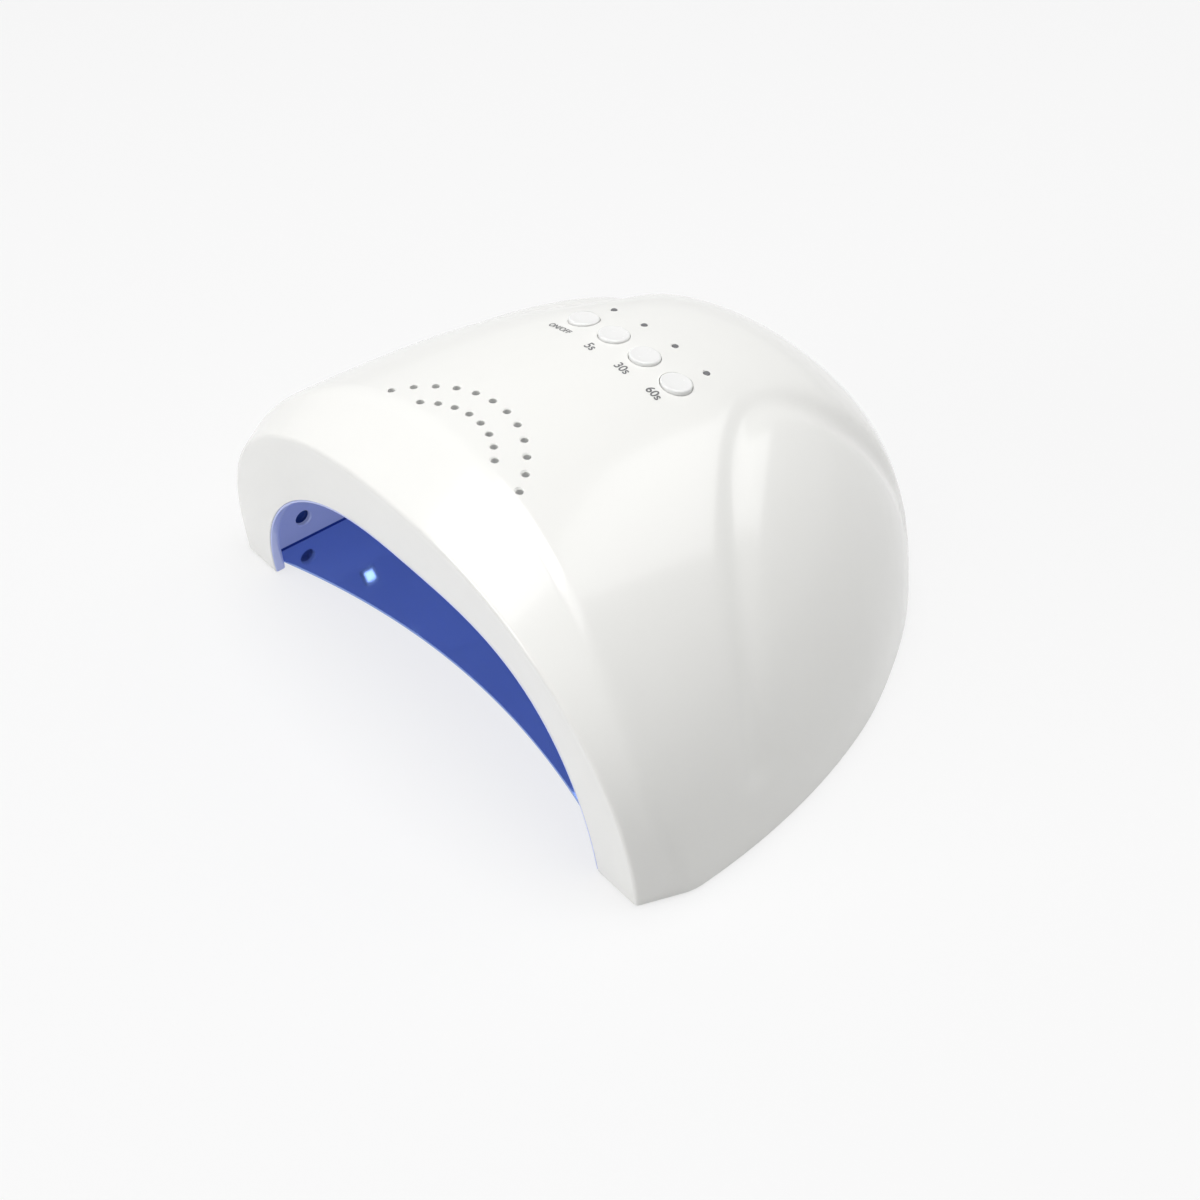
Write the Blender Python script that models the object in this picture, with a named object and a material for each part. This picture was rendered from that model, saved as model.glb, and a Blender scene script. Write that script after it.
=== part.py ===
"""LED nail lamp: a domed tabletop lamp that cures gel polish on a hand put into its mouth.

A glossy white shell stands over a blue reflector with square LEDs, on a base ring that
carries the rubber feet and the magnets of a thin removable floor plate. Four timer keys
on the crown press switches on a control board that hangs under the shell.

The layout is in metres. X runs across the lamp, Y from the line of the two front feet
to the tail, Z up from the shell's lower edge. The empty "lamp" then lifts the layout by
the height of the feet and puts the origin under the middle of the lamp.
"""

import math

import bmesh
import bpy
from mathutils import Vector

MM = 0.001

# Shell: overall form
CREST_HALF_WIDTH = 104.0 * MM
TAIL_Y = 183.0 * MM
CROWN_HEIGHT = 99.0 * MM
WIDEST_Y = 15.0 * MM
FLAT_CROWN_Y = 30.0 * MM
PLAN_FALL_POWER = 2.05
PLAN_ROUND_POWER = 1.76
CROWN_FALL_POWER = 3.9
CROWN_ROUND_POWER = 1.04
SECTION_POWER = 2.06
SECTION_TAIL_GAIN = 0.24
SECTION_TURN_Y = 60.0 * MM
SHELL_WALL = 2.8 * MM
HOLLOW_STATIONS = 10
HOLLOW_TURNS = 25

# Shell: soft crease behind the front band
BAND_FOOT_Y = 16.0 * MM
BAND_TOP_Y = 14.0 * MM
BAND_BOW = 9.8 * MM

# Shell: sharp crease round the front face
FACE_SIDE_STEP = 6.0 * MM
FACE_TOP_STEP = 13.8 * MM
FACE_HALF_WIDTH = CREST_HALF_WIDTH - FACE_SIDE_STEP
FACE_HEIGHT = CROWN_HEIGHT - FACE_TOP_STEP
FACE_POWER = 2.3
FACE_OVERHANG = 6.4 * MM
FACE_LEAN_POWER = 1.75

# Shell: mouth for the hand
RIM_SIDE_WIDTH = 16.4 * MM
RIM_TOP_WIDTH = 27.8 * MM
MOUTH_HALF_WIDTH = FACE_HALF_WIDTH - RIM_SIDE_WIDTH
MOUTH_HEIGHT = FACE_HEIGHT - RIM_TOP_WIDTH
MOUTH_SIDE_POWER = 3.0
MOUTH_TOP_POWER = 2.04
MOUTH_DISH = 7.6 * MM
MOUTH_TOP_SET_BACK = 0.4 * MM

# Shell: valley between the saddle and each rear lobe, in shares of half width and tail
VALLEY_PLAN_SHARES = (
    (0.9535, 0.238),
    (0.7548, 0.2878),
    (0.3677, 0.4363),
    (0.3363, 0.5485),
    (0.3155, 0.6233),
    (0.3962, 0.6853),
    (0.4456, 0.881),
)
VALLEY_DEPTH = 1.2 * MM
VALLEY_RADIUS = 4.6 * MM
SPINE_RISE = 1.7 * MM
LOBE_DROP = 0.9 * MM
SPINE_EDGE = 9.0 * MM
SPINE_START_SHARE = 0.52
SPINE_FULL_SHARE = 0.7
SPINE_LOW_SHARE = 0.18
SPINE_HIGH_SHARE = 0.6
SPINE_MIDDLE_SHARE = 0.5
VALLEY_EDGE_SHARE = 0.08
SKIN_STEP_SHARE = 0.002

# Fits
GAP = 0.3 * MM
OVERRUN = 5.0 * MM
WELD = 0.002 * MM

# Vents: two arcs of round holes on the crown
VENT_RADIUS = 1.1 * MM
VENT_CENTRE_Y = -1.3 * MM
VENT_ARC_RADII = (34.3 * MM, 25.6 * MM)
VENT_COUNTS = (12, 8)
VENT_HALF_TURN_SHARES = (0.325, 0.2306)

# Keys
KEY_NAMES = ("power", "5s", "30s", "60s")
KEY_PITCH = 13.7 * MM
KEY_BACK_SHARE = 0.3268
KEY_Y = FLAT_CROWN_Y + (TAIL_Y - FLAT_CROWN_Y) * KEY_BACK_SHARE
KEY_RADIUS = 4.6 * MM
KEY_PROUD = 1.15 * MM
KEY_CROWN = 0.2 * MM
KEY_TRAVEL = 0.5 * MM
KEY_FLANGE = 1.0 * MM
KEY_FLANGE_THICKNESS = 1.0 * MM
KEY_FLANGE_DROP = 0.9 * MM
KEY_STEM_RADIUS = 1.6 * MM
KEY_ROUND = 0.4 * MM
KEY_CROWN_SHARE = 0.55
KEY_FOLLOW_SHARE = 0.5
KEY_TILT_SHARE = 0.055

# Indicators behind the keys
INDICATOR_RADIUS = 1.0 * MM
INDICATOR_OFFSET = 11.6 * MM
INDICATOR_PROUD = 0.1 * MM
PIPE_BAR_THICKNESS = 1.6 * MM
PIPE_BAR_WIDTH = 2.6 * MM
PIPE_BAR_DROP = 1.2 * MM
PIPE_LIGHT_GAP = 0.5 * MM
PIPE_FOOT_RADIUS = 0.9 * MM

# Control board
BOARD_THICKNESS = 1.6 * MM
BOARD_DROP = 7.316 * MM
BOARD_SIDE_MARGIN = 11.45 * MM
BOARD_WIDTH = (len(KEY_NAMES) - 1) * KEY_PITCH + 2 * BOARD_SIDE_MARGIN
BOARD_DEPTH = 32.0 * MM
BOARD_LEAD = 14.0 * MM
BOARD_FRONT_Y = KEY_Y - BOARD_LEAD
BOARD_CORNER = 3.0 * MM
POST_RADIUS = 3.0 * MM
POST_INSET = 4.5 * MM
SWITCH_SIDE = 6.0 * MM
SWITCH_HEIGHT = 3.5 * MM
PLUNGER_RADIUS = 1.7 * MM
PLUNGER_PROUD = 1.0 * MM
PLUNGER_DEPTH = 1.6 * MM
INDICATOR_LED = (1.6 * MM, 0.9 * MM, 0.8 * MM)
CHIP_SIZE = (7.6 * MM, 5.2 * MM, 1.7 * MM)
CHIP_STEP = (-14.0 * MM, -6.0 * MM)
CAPACITOR_RADIUS = 4.0 * MM
CAPACITOR_HEIGHT = 11.0 * MM
CAPACITOR_STEP = (17.0 * MM, -5.0 * MM)
COIL_RADIUS = 4.2 * MM
COIL_WAIST_RADIUS = 3.4 * MM
COIL_HEIGHT = 5.0 * MM
COIL_RIM = 1.0 * MM
COIL_STEP = (4.0 * MM, -5.0 * MM)
SOCKET_SIZE = (9.0 * MM, 5.6 * MM, 6.0 * MM)
SOCKET_WALL = 1.0 * MM
SOCKET_DEPTH = 4.0 * MM
SOCKET_STEP = (-4.0 * MM, 12.0 * MM)

# Screws
SCREW_RADIUS = 1.3 * MM
SCREW_HEAD_RADIUS = 2.5 * MM
SCREW_HEAD_HEIGHT = 1.6 * MM
SCREW_HEAD_ROUND = 0.5 * MM
SCREW_SLOT_WIDTH = 0.7 * MM
SCREW_SLOT_LENGTH = 3.0 * MM
SCREW_SLOT_DEPTH = 0.8 * MM
SCREW_LENGTH = 8.0 * MM
SCREW_SEAT = 1.75 * MM
BOARD_SCREW_LENGTH = 5.0 * MM

# Reflector
LINER_WALL = 1.5 * MM
LINER_SIDE_STEP = 6.4 * MM
LINER_ROOF_STEP = 2.6 * MM
LINER_HALF_WIDTH = MOUTH_HALF_WIDTH + LINER_SIDE_STEP
LINER_ROOF_Z = MOUTH_HEIGHT + LINER_ROOF_STEP
LINER_ROOF_FALL = 3.0 * MM
LINER_ROOF_EDGE_Z = LINER_ROOF_Z - LINER_ROOF_FALL
LINER_ROOF_SHARE = 0.341
LINER_ROOF_HALF_WIDTH = LINER_HALF_WIDTH * LINER_ROOF_SHARE
LINER_SLOPE_WIDTH = 26.0 * MM
LINER_SHOULDER_X = LINER_HALF_WIDTH - LINER_SLOPE_WIDTH
LINER_WALL_HEIGHT = 26.0 * MM
LINER_FRONT_Y = 3.4 * MM
LINER_BEND_Y = 50.0 * MM
LINER_BEND_SHARE = 0.75
LINER_REAR_SHARE = 0.4545
BEND_BACK_SHARE = 0.612
REAR_BACK_SHARE = 0.7869
LINER_REAR_BEND = (LINER_HALF_WIDTH * LINER_BEND_SHARE, TAIL_Y * BEND_BACK_SHARE)
LINER_REAR = (LINER_HALF_WIDTH * LINER_REAR_SHARE, TAIL_Y * REAR_BACK_SHARE)
LINER_REAR_FOOT_Z = 14.0 * MM
LIP_WALL = 0.9 * MM
LIP_SET_BACK = 0.2 * MM
LIP_FOOT_Z = 0.4 * MM
SIDE_HOLE_RADIUS = 2.8 * MM
SIDE_HOLE_Y = 16.0 * MM
SIDE_HOLE_Z = 10.0 * MM

# LEDs
LED_SIDE = 5.0 * MM
LED_PROUD = 0.2 * MM
LED_SINK = 0.4 * MM
LED_BOARD_THICKNESS = 1.2 * MM
LED_BOARD_MARGIN = 4.0 * MM
LED_BOARD_LIFT = 0.6 * MM

# Arch steps on the reflector's wall, slope, roof edge and half roof
LINER_STRIP_COUNTS = (5, 5, 3, 3)

# LED boards: (row segment, strip, side), shares back along the facet, shares up it
LED_FACET_SHARES = {
    "right_wall_front_leds": (((0, 1, 1),), (0.72,), (0.1,)),
    "right_wall_rear_leds": (((1, 0, 1),), (0.3, 0.75), (0.7,)),
    "right_slope_front_leds": (((0, 1, 1),), (0.3, 0.8), (0.75,)),
    "right_slope_rear_leds": (((1, 1, 1),), (0.3, 0.75), (0.5,)),
    "left_wall_front_leds": (((0, 1, -1),), (0.72,), (0.1,)),
    "left_wall_rear_leds": (((1, 0, -1),), (0.3, 0.75), (0.7,)),
    "left_slope_front_leds": (((0, 1, -1),), (0.3, 0.8), (0.75,)),
    "left_slope_rear_leds": (((1, 1, -1),), (0.3, 0.75), (0.5,)),
    "roof_leds": (((0, 3, 1), (1, 3, 1)), (0.35, 0.85), (0.22, 0.78)),
    "rear_leds": (((2, 3, 1),), (0.3, 0.68), (0.1, 0.9)),
}

# Hand sensor: two lenses on the rear slope
SENSOR_X = (-3.0 * MM, 3.0 * MM)
SENSOR_SHARE = 0.5
SENSOR_RADIUS = 1.6 * MM
SENSOR_HOUSING = (5.0 * MM, 11.0 * MM, 3.0 * MM)

# Base ring and floor plate
RING_TOP_Z = 3.5 * MM
RING_BOTTOM_Z = 0.3 * MM
REBATE_WIDTH = 6.0 * MM
REBATE_CEILING_Z = 1.9 * MM
PLATE_BOTTOM_Z = 0.6 * MM
PLATE_TOP_Z = 1.6 * MM
PLATE_SIDE_GAP = 0.5 * MM
PLATE_FRONT_Y = 5.2 * MM
PLATE_FRONT_STEP = 2.4 * MM
PLATE_FRONT_HALF_WIDTH = MOUTH_HALF_WIDTH + PLATE_FRONT_STEP
PLATE_FRONT_DISH = 13.8 * MM
PLATE_FRONT_POWER = 2.4
PLATE_EAR_Y = 6.0 * MM
RING_FRONT_Y = 5.5 * MM
MAGNET_RADIUS = 1.8 * MM
MAGNET_SIDE_Y = 32.0 * MM
MAGNET_INSET = 3.0 * MM
MAGNET_REAR_SHARE = 0.6
MAGNET_SIDE_X = LINER_HALF_WIDTH + MAGNET_INSET
MAGNET_REAR_X = LINER_REAR[0] * MAGNET_REAR_SHARE
MAGNET_REAR_Y = LINER_REAR[1] + MAGNET_INSET
MAGNET_THICKNESS = 1.2 * MM
BOSS_RADIUS = 3.2 * MM
BOSS_INSETS = (6.6 * MM, 7.34 * MM, 9.62 * MM)
BOSS_FRONT_Y = 18.0 * MM
BOSS_MIDDLE_SHARE = 0.481
BOSS_REAR_SHARE = 0.7486
BOSS_ROWS_Y = (BOSS_FRONT_Y, TAIL_Y * BOSS_MIDDLE_SHARE, TAIL_Y * BOSS_REAR_SHARE)

# Feet
FOOT_STAND = 1.0 * MM
FOOT_RADIUS = 2.4 * MM
FOOT_STRAIGHT = 9.0 * MM
FOOT_SINK = 1.2 * MM
FOOT_INSET = 6.9 * MM
FOOT_FRONT_Y = 33.0 * MM
FOOT_BACK_SHARE = 0.8743
FOOT_REAR_SHARE = 0.65
FRONT_FOOT = (CREST_HALF_WIDTH - FOOT_INSET, FOOT_FRONT_Y)
REAR_FOOT = (LINER_REAR[0] * FOOT_REAR_SHARE, TAIL_Y * FOOT_BACK_SHARE)

# Jack
JACK_RADIUS = 5.6 * MM
JACK_FLANGE_RADIUS = 7.0 * MM
JACK_FLANGE = 1.4 * MM
JACK_LENGTH = 14.0 * MM
JACK_BORE_RADIUS = 3.1 * MM
JACK_BORE_DEPTH = 9.5 * MM
JACK_PIN_RADIUS = 0.9 * MM
JACK_Z = 16.0 * MM
JACK_SEAT_DEPTH = 1.0 * MM
JACK_SEARCH = 60.0 * MM
JACK_PAD_RADIUS = 9.5 * MM
JACK_PAD_DEPTH = 5.0 * MM
JACK_PIN_LENGTH = 8.0 * MM
NUT_RADIUS = 8.2 * MM
NUT_THICKNESS = 2.4 * MM

# Lead from the jack to the control board
LEAD_RADIUS = 1.3 * MM
LEAD_DROP = 12.0 * MM
LEAD_BACK_STEPS = (2.3 * MM, 4.8 * MM, 5.3 * MM)
LEAD_SIDE_SHARES = (0.0, 0.0, 0.25)
LEAD_RISE_SHARES = (0.0, 0.0909, 0.4545)
LEAD_CREST_STEP = 6.0 * MM
LEAD_CREST_SHARE = 0.9545
LEAD_OVER_STEPS = (32.0 * MM, 16.0 * MM)

COLOURS = {
    "gloss_white": ((0.90, 0.90, 0.89), 0.18, 0.0),
    "key_white": ((0.88, 0.88, 0.87), 0.25, 0.0),
    "reflector_blue": ((0.19, 0.22, 0.55), 0.3, 0.2),
    "plate_blue": ((0.05, 0.09, 0.38), 0.12, 0.3),
    "led_lens": ((0.86, 0.90, 1.0), 0.2, 0.0),
    "board_green": ((0.03, 0.20, 0.09), 0.5, 0.0),
    "board_white": ((0.80, 0.80, 0.78), 0.5, 0.0),
    "switch_black": ((0.03, 0.03, 0.03), 0.45, 0.0),
    "steel": ((0.60, 0.60, 0.62), 0.3, 1.0),
    "rubber_grey": ((0.16, 0.16, 0.17), 0.85, 0.0),
    "clear_grey": ((0.45, 0.46, 0.48), 0.25, 0.0),
    "copper": ((0.55, 0.25, 0.12), 0.35, 1.0),
}


def smooth_step(share):
    """A share held between 0 and 1, eased at both ends."""
    held = min(max(share, 0.0), 1.0)
    return held * held * (3 - 2 * held)


def superellipse(turn, half_width, height, side_power, top_power):
    """(x, z) on an arch from the right foot, turn 0, over the top to the left foot, turn pi."""
    across, up = math.cos(turn), math.sin(turn)
    x = math.copysign(half_width * abs(across) ** (2 / side_power), across)
    return x, height * abs(up) ** (2 / top_power)


def plan_half_width(y, inset):
    reach = TAIL_Y - inset - WIDEST_Y
    fall = min(abs(y - WIDEST_Y) / reach, 1.0)
    return (CREST_HALF_WIDTH - inset) * (1 - fall**PLAN_FALL_POWER) ** (1 / PLAN_ROUND_POWER)


def crown_height(y, inset):
    reach = TAIL_Y - inset - FLAT_CROWN_Y
    fall = min(max(y - FLAT_CROWN_Y, 0.0) / reach, 1.0)
    return (CROWN_HEIGHT - inset) * (1 - fall**CROWN_FALL_POWER) ** (1 / CROWN_ROUND_POWER)


def section_power(y):
    share = max(y - SECTION_TURN_Y, 0.0) / (TAIL_Y - SECTION_TURN_Y)
    return SECTION_POWER + SECTION_TAIL_GAIN * share**2


def dome_point(back, turn, inset):
    """A point of the plain dome: back runs 0 to 1 from the band crease to the tail."""
    ease = math.sin(back * math.pi / 2)
    y = BAND_TOP_Y + (TAIL_Y - inset - BAND_TOP_Y) * ease
    power = section_power(y)
    x, z = superellipse(turn, plan_half_width(y, inset), crown_height(y, inset), power, power)
    rise = math.sin(turn)
    foot_lead = (BAND_FOOT_Y - BAND_TOP_Y) * (1 - rise)
    bow = BAND_BOW * 4 * rise * (1 - rise)
    return Vector((x, y + (foot_lead - bow) * (1 - ease), z))


def dome_height_at(x, y, inset):
    """Height of the plain dome over a place on the base."""
    power = section_power(y)
    share = min(abs(x) / plan_half_width(y, inset), 1.0)
    return crown_height(y, inset) * (1 - share**power) ** (1 / power)


def bezier(points, share):
    """A point of the Bezier curve over any number of control points."""
    layer = [Vector(p) for p in points]
    while len(layer) > 1:
        layer = [a.lerp(b, share) for a, b in zip(layer, layer[1:])]
    return layer[0]


def valley_line(steps=14):
    """Points of the right valley on the plain dome, from the side wall to the tail."""
    places = [Vector((x * CREST_HALF_WIDTH, y * TAIL_Y)) for x, y in VALLEY_PLAN_SHARES]
    plan = [bezier(places[:4], i / steps) for i in range(steps)]
    plan += [bezier(places[3:], i / steps) for i in range(steps + 1)]
    return [Vector((p.x, p.y, dome_height_at(p.x, p.y, 0))) for p in plan]


def valley_x_at(line, y):
    """How far out the valley runs at a place along the spine."""
    for a, b in zip(line, line[1:]):
        if a.y <= y <= b.y:
            return a.x + (b.x - a.x) * (y - a.y) / max(b.y - a.y, GAP)
    return line[-1].x if y > line[-1].y else line[0].x


def valley_shift(point, line):
    """How far the finished surface stands off the plain dome at a point."""
    here = Vector((abs(point.x), point.y, point.z))
    nearest = min((here - p).length for p in line)
    groove = VALLEY_DEPTH * math.exp(-((nearest / VALLEY_RADIUS) ** 2))
    along = (point.y / TAIL_Y - SPINE_START_SHARE) / (SPINE_FULL_SHARE - SPINE_START_SHARE)
    across = (here.x - valley_x_at(line, point.y)) / SPINE_EDGE + SPINE_MIDDLE_SHARE
    lobe = smooth_step(across)
    up = (point.z / CROWN_HEIGHT - SPINE_LOW_SHARE) / (SPINE_HIGH_SHARE - SPINE_LOW_SHARE)
    spine = SPINE_RISE * smooth_step(up) * (1 - lobe)
    return smooth_step(along) * (spine - LOBE_DROP * lobe) - groove


def dome_skin_point(back, turn, line):
    """A point of the finished dome, with its valleys, spine and lobes."""
    here = dome_point(back, turn, 0)
    step = SKIN_STEP_SHARE
    low, high = max(back - step, 0.0), min(back + step, 1.0)
    if back > 1 - step:
        return here
    along = dome_point(high, turn, 0) - dome_point(low, turn, 0)
    near, far = max(turn - step, 0.0), min(turn + step, math.pi)
    across = dome_point(back, far, 0) - dome_point(back, near, 0)
    outward = along.cross(across).normalized()
    if turn in (0.0, math.pi):
        outward.z = 0
    edge = smooth_step(back / VALLEY_EDGE_SHARE)
    return here + outward * (valley_shift(here, line) * edge)


def face_row(turns, inset):
    """The sharp crease round the front face."""
    row = []
    for turn in turns:
        x, z = superellipse(
            turn, FACE_HALF_WIDTH - inset, FACE_HEIGHT - inset, FACE_POWER, FACE_POWER
        )
        lean = 1 - (1 - math.sin(turn)) ** FACE_LEAN_POWER
        row.append(Vector((x, inset - FACE_OVERHANG * lean, z)))
    return row


def mouth_row(turns, shrink, set_back):
    """The edge of the mouth, smaller by shrink and further back by set_back."""
    row = []
    for turn in turns:
        x, z = superellipse(
            turn,
            MOUTH_HALF_WIDTH - shrink,
            MOUTH_HEIGHT - shrink,
            MOUTH_SIDE_POWER,
            MOUTH_TOP_POWER,
        )
        rise = math.sin(turn)
        dish = MOUTH_DISH * rise * (1 - rise) + MOUTH_TOP_SET_BACK * rise
        row.append(Vector((x, set_back - dish, z)))
    return row


def flat_row(row, y):
    return [Vector((p.x, y, p.z)) for p in row]


def lowered(row, foot_z):
    """The row with its two feet carried down to a level."""
    first, last = row[0], row[-1]
    return [Vector((first.x, first.y, foot_z)), *row, Vector((last.x, last.y, foot_z))]


def arch_turns(count):
    return [math.pi * i / (count - 1) for i in range(count)]


def new_object(name, mesh_tool, colour):
    """An object of its own from a bmesh, its faces turned out, with its material."""
    bmesh.ops.recalc_face_normals(mesh_tool, faces=mesh_tool.faces)
    if mesh_tool.calc_volume(signed=True) < 0:
        bmesh.ops.reverse_faces(mesh_tool, faces=mesh_tool.faces)
    mesh = bpy.data.meshes.new(name)
    mesh_tool.to_mesh(mesh)
    mesh_tool.free()
    made = bpy.data.objects.new(name, mesh)
    bpy.context.scene.collection.objects.link(made)
    mesh.materials.append(material(colour))
    return made


def material(name):
    found = bpy.data.materials.get(name)
    if found:
        return found
    colour, roughness, metallic = COLOURS[name]
    made = bpy.data.materials.new(name)
    made.use_nodes = True
    shader = made.node_tree.nodes["Principled BSDF"]
    shader.inputs["Base Color"].default_value = (*colour, 1.0)
    shader.inputs["Roughness"].default_value = roughness
    shader.inputs["Metallic"].default_value = metallic
    return made


def loaf(name, rows, colour):
    """A closed solid over a row of arches: skin, sole, and a cap at each end."""
    tool = bmesh.new()
    grid = [[tool.verts.new(p) for p in row] for row in rows]
    count = len(rows[0])
    skin = []
    for near, far in zip(grid, grid[1:]):
        for i in range(count - 1):
            skin.append(tool.faces.new((near[i], near[i + 1], far[i + 1], far[i])))
    front = grid[0]
    for i in range((count - 1) // 2):
        corners = [front[i], front[i + 1], front[count - 2 - i], front[count - 1 - i]]
        skin.append(tool.faces.new(list(dict.fromkeys(corners))))
    feet = [row[0] for row in grid] + [row[-1] for row in reversed(grid)]
    levels = [foot.co.z for foot in feet]
    if max(levels) - min(levels) < WELD:
        tool.faces.new(feet)
    else:
        for near, far in zip(grid, grid[1:]):
            skin.append(tool.faces.new((near[0], far[0], far[-1], near[-1])))
    if (rows[-1][0] - rows[-1][-1]).length > GAP:
        tool.faces.new(grid[-1])
    bmesh.ops.triangulate(tool, faces=skin)
    bmesh.ops.remove_doubles(tool, verts=tool.verts, dist=WELD)
    return new_object(name, tool, colour)


def prism(name, outline, low, high, colour):
    """A flat outline raised from one level to another."""
    tool = bmesh.new()
    base = tool.faces.new([tool.verts.new((p[0], p[1], low)) for p in outline])
    grown = bmesh.ops.extrude_face_region(tool, geom=[base])
    lifted = [v for v in grown["geom"] if isinstance(v, bmesh.types.BMVert)]
    bmesh.ops.translate(tool, verts=lifted, vec=(0, 0, high - low))
    return new_object(name, tool, colour)


def turned(name, profile, place, sides, colour, toward=Vector((0, 0, 1))):
    """A solid of revolution: profile is (radius, height) pairs from the bottom up."""
    tool = bmesh.new()
    tilt = Vector((0, 0, 1)).rotation_difference(toward)
    rings = []
    for radius, height in profile:
        ring = []
        for i in range(sides):
            angle = 2 * math.pi * i / sides
            spot = Vector((radius * math.cos(angle), radius * math.sin(angle), height))
            ring.append(tool.verts.new(Vector(place) + tilt @ spot))
        rings.append(ring)
    for low, high in zip(rings, rings[1:]):
        for i in range(sides):
            j = (i + 1) % sides
            tool.faces.new((low[i], low[j], high[j], high[i]))
    tool.faces.new(list(reversed(rings[0])))
    tool.faces.new(rings[-1])
    return new_object(name, tool, colour)


def cylinder(name, radius, low, high, place, sides, colour):
    """An upright round bar between two levels."""
    spot = (place[0], place[1], 0)
    return turned(name, [(radius, low), (radius, high)], spot, sides, colour)


def block(name, size, centre, colour, along=Vector((1, 0, 0)), out=Vector((0, 0, 1))):
    """A box: size is (along, sideways, out), with its directions."""
    side = out.cross(along)
    tool = bmesh.new()
    bmesh.ops.create_cube(tool, size=1)
    for v in tool.verts:
        reach = Vector((v.co.x * size[0], v.co.y * size[1], v.co.z * size[2]))
        v.co = Vector(centre) + along * reach.x + side * reach.y + out * reach.z
    return new_object(name, tool, colour)


def combine(target, others, operation):
    """Adds the others to the target, or cuts them out of it, with one exact Boolean."""
    joined = bmesh.new()
    for other in others:
        joined.from_mesh(other.data)
    tool = others[0]
    joined.to_mesh(tool.data)
    joined.free()
    tool.hide_render = True
    tool.display_type = "WIRE"
    change = target.modifiers.new("change", "BOOLEAN")
    change.operation = operation
    change.solver = "EXACT"
    change.object = tool
    graph = bpy.context.evaluated_depsgraph_get()
    solid = bpy.data.meshes.new_from_object(target.evaluated_get(graph))
    target.modifiers.clear()
    target.data = solid
    weld = bmesh.new()
    weld.from_mesh(solid)
    bmesh.ops.remove_doubles(weld, verts=weld.verts, dist=WELD)
    weld.to_mesh(solid)
    weld.free()
    for other in others:
        bpy.data.objects.remove(other)
    return target


def key_places():
    """(x, y) of each key, from the power key on the left to the longest timer."""
    count = len(KEY_NAMES)
    return [((i - (count - 1) / 2) * KEY_PITCH, KEY_Y) for i in range(count)]


def indicator_places():
    return [(x, y + INDICATOR_OFFSET) for x, y in key_places()]


def around(place, radius, inset):
    """Heights of the plain dome at points round a circle on the crown."""
    turns = [2 * math.pi * i / 12 for i in range(12)]
    reach = [(place[0] + radius * math.cos(t), place[1] + radius * math.sin(t)) for t in turns]
    return [dome_height_at(x, y, inset) for x, y in reach]


# Levels of the control board, hung by the lowest place over the keys' flanges
KEY_CEILING_Z = min(around(key_places()[-1], KEY_RADIUS + KEY_FLANGE, SHELL_WALL))
BOARD_TOP_Z = KEY_CEILING_Z - BOARD_DROP
BOARD_BOTTOM_Z = BOARD_TOP_Z - BOARD_THICKNESS
SWITCH_TOP_Z = BOARD_TOP_Z + SWITCH_HEIGHT


def board_post_places():
    """(x, y) of the four posts that hold the control board."""
    reach = BOARD_WIDTH / 2 - POST_INSET
    near, far = BOARD_FRONT_Y + POST_INSET, BOARD_FRONT_Y + BOARD_DEPTH - POST_INSET
    return [(side * reach, y) for side in (-1, 1) for y in (near, far)]


def by_keys(step):
    """(x, y) of what stands a step away from the middle of the key row."""
    return step[0], KEY_Y + step[1]


def boss_places():
    """(x, y) of the six screw bosses, each the same way in from the shell's edge."""
    half = [(plan_half_width(y, 0) - inset, y) for inset, y in zip(BOSS_INSETS, BOSS_ROWS_Y)]
    return [(side * x, y) for side in (-1, 1) for x, y in half]


def vent_places():
    places = []
    for radius, count, reach in zip(VENT_ARC_RADII, VENT_COUNTS, VENT_HALF_TURN_SHARES):
        for i in range(count):
            angle = math.pi * reach * (2 * i / (count - 1) - 1)
            places.append((radius * math.sin(angle), VENT_CENTRE_Y + radius * math.cos(angle)))
    return places


def shell_rows(turns, stations):
    """The outer skin as arches: past the mouth edge, mouth, face crease, band, dome."""
    line = valley_line()
    mouth, face = mouth_row(turns, 0, 0), face_row(turns, 0)
    crease = [dome_skin_point(0, t, line) for t in turns]
    inner = [m + (m - f).normalized() * SHELL_WALL for m, f in zip(mouth, face)]
    for p in inner:
        p.z = max(p.z, 0)
    inner[0].z = inner[-1].z = 0
    middle = [f.lerp(c, 0.5) for f, c in zip(face, crease)]
    rows = [inner, face, middle]
    for i in range(stations + 1):
        rows.append([dome_skin_point(i / stations, t, line) for t in turns])
    return rows


def hollow_rows():
    """The space inside the shell, running out through the mouth."""
    turns = arch_turns(HOLLOW_TURNS)
    mouth = mouth_row(turns, 0, SHELL_WALL)
    rows = [flat_row(mouth, -FACE_OVERHANG - OVERRUN), mouth, face_row(turns, SHELL_WALL)]
    for i in range(HOLLOW_STATIONS + 1):
        rows.append([dome_point(i / HOLLOW_STATIONS, t, SHELL_WALL) for t in turns])
    return [lowered(row, -OVERRUN) for row in rows]


def dome_core(inset):
    """The space under the dome less an inset, to trim what stands inside the shell."""
    turns = arch_turns(HOLLOW_TURNS)
    rows = [face_row(turns, inset)]
    for i in range(HOLLOW_STATIONS + 1):
        rows.append([dome_point(i / HOLLOW_STATIONS, t, inset) for t in turns])
    return loaf("core", [lowered(row, -OVERRUN) for row in rows], "gloss_white")


def jack_round(name, radius, low, high, sides, colour):
    """A round bar on the jack's axis: low and high run outwards from its face."""
    place = (0, jack_face_y(), JACK_Z)
    return turned(name, [(radius, low), (radius, high)], place, sides, colour, Vector((0, 1, 0)))


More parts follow.
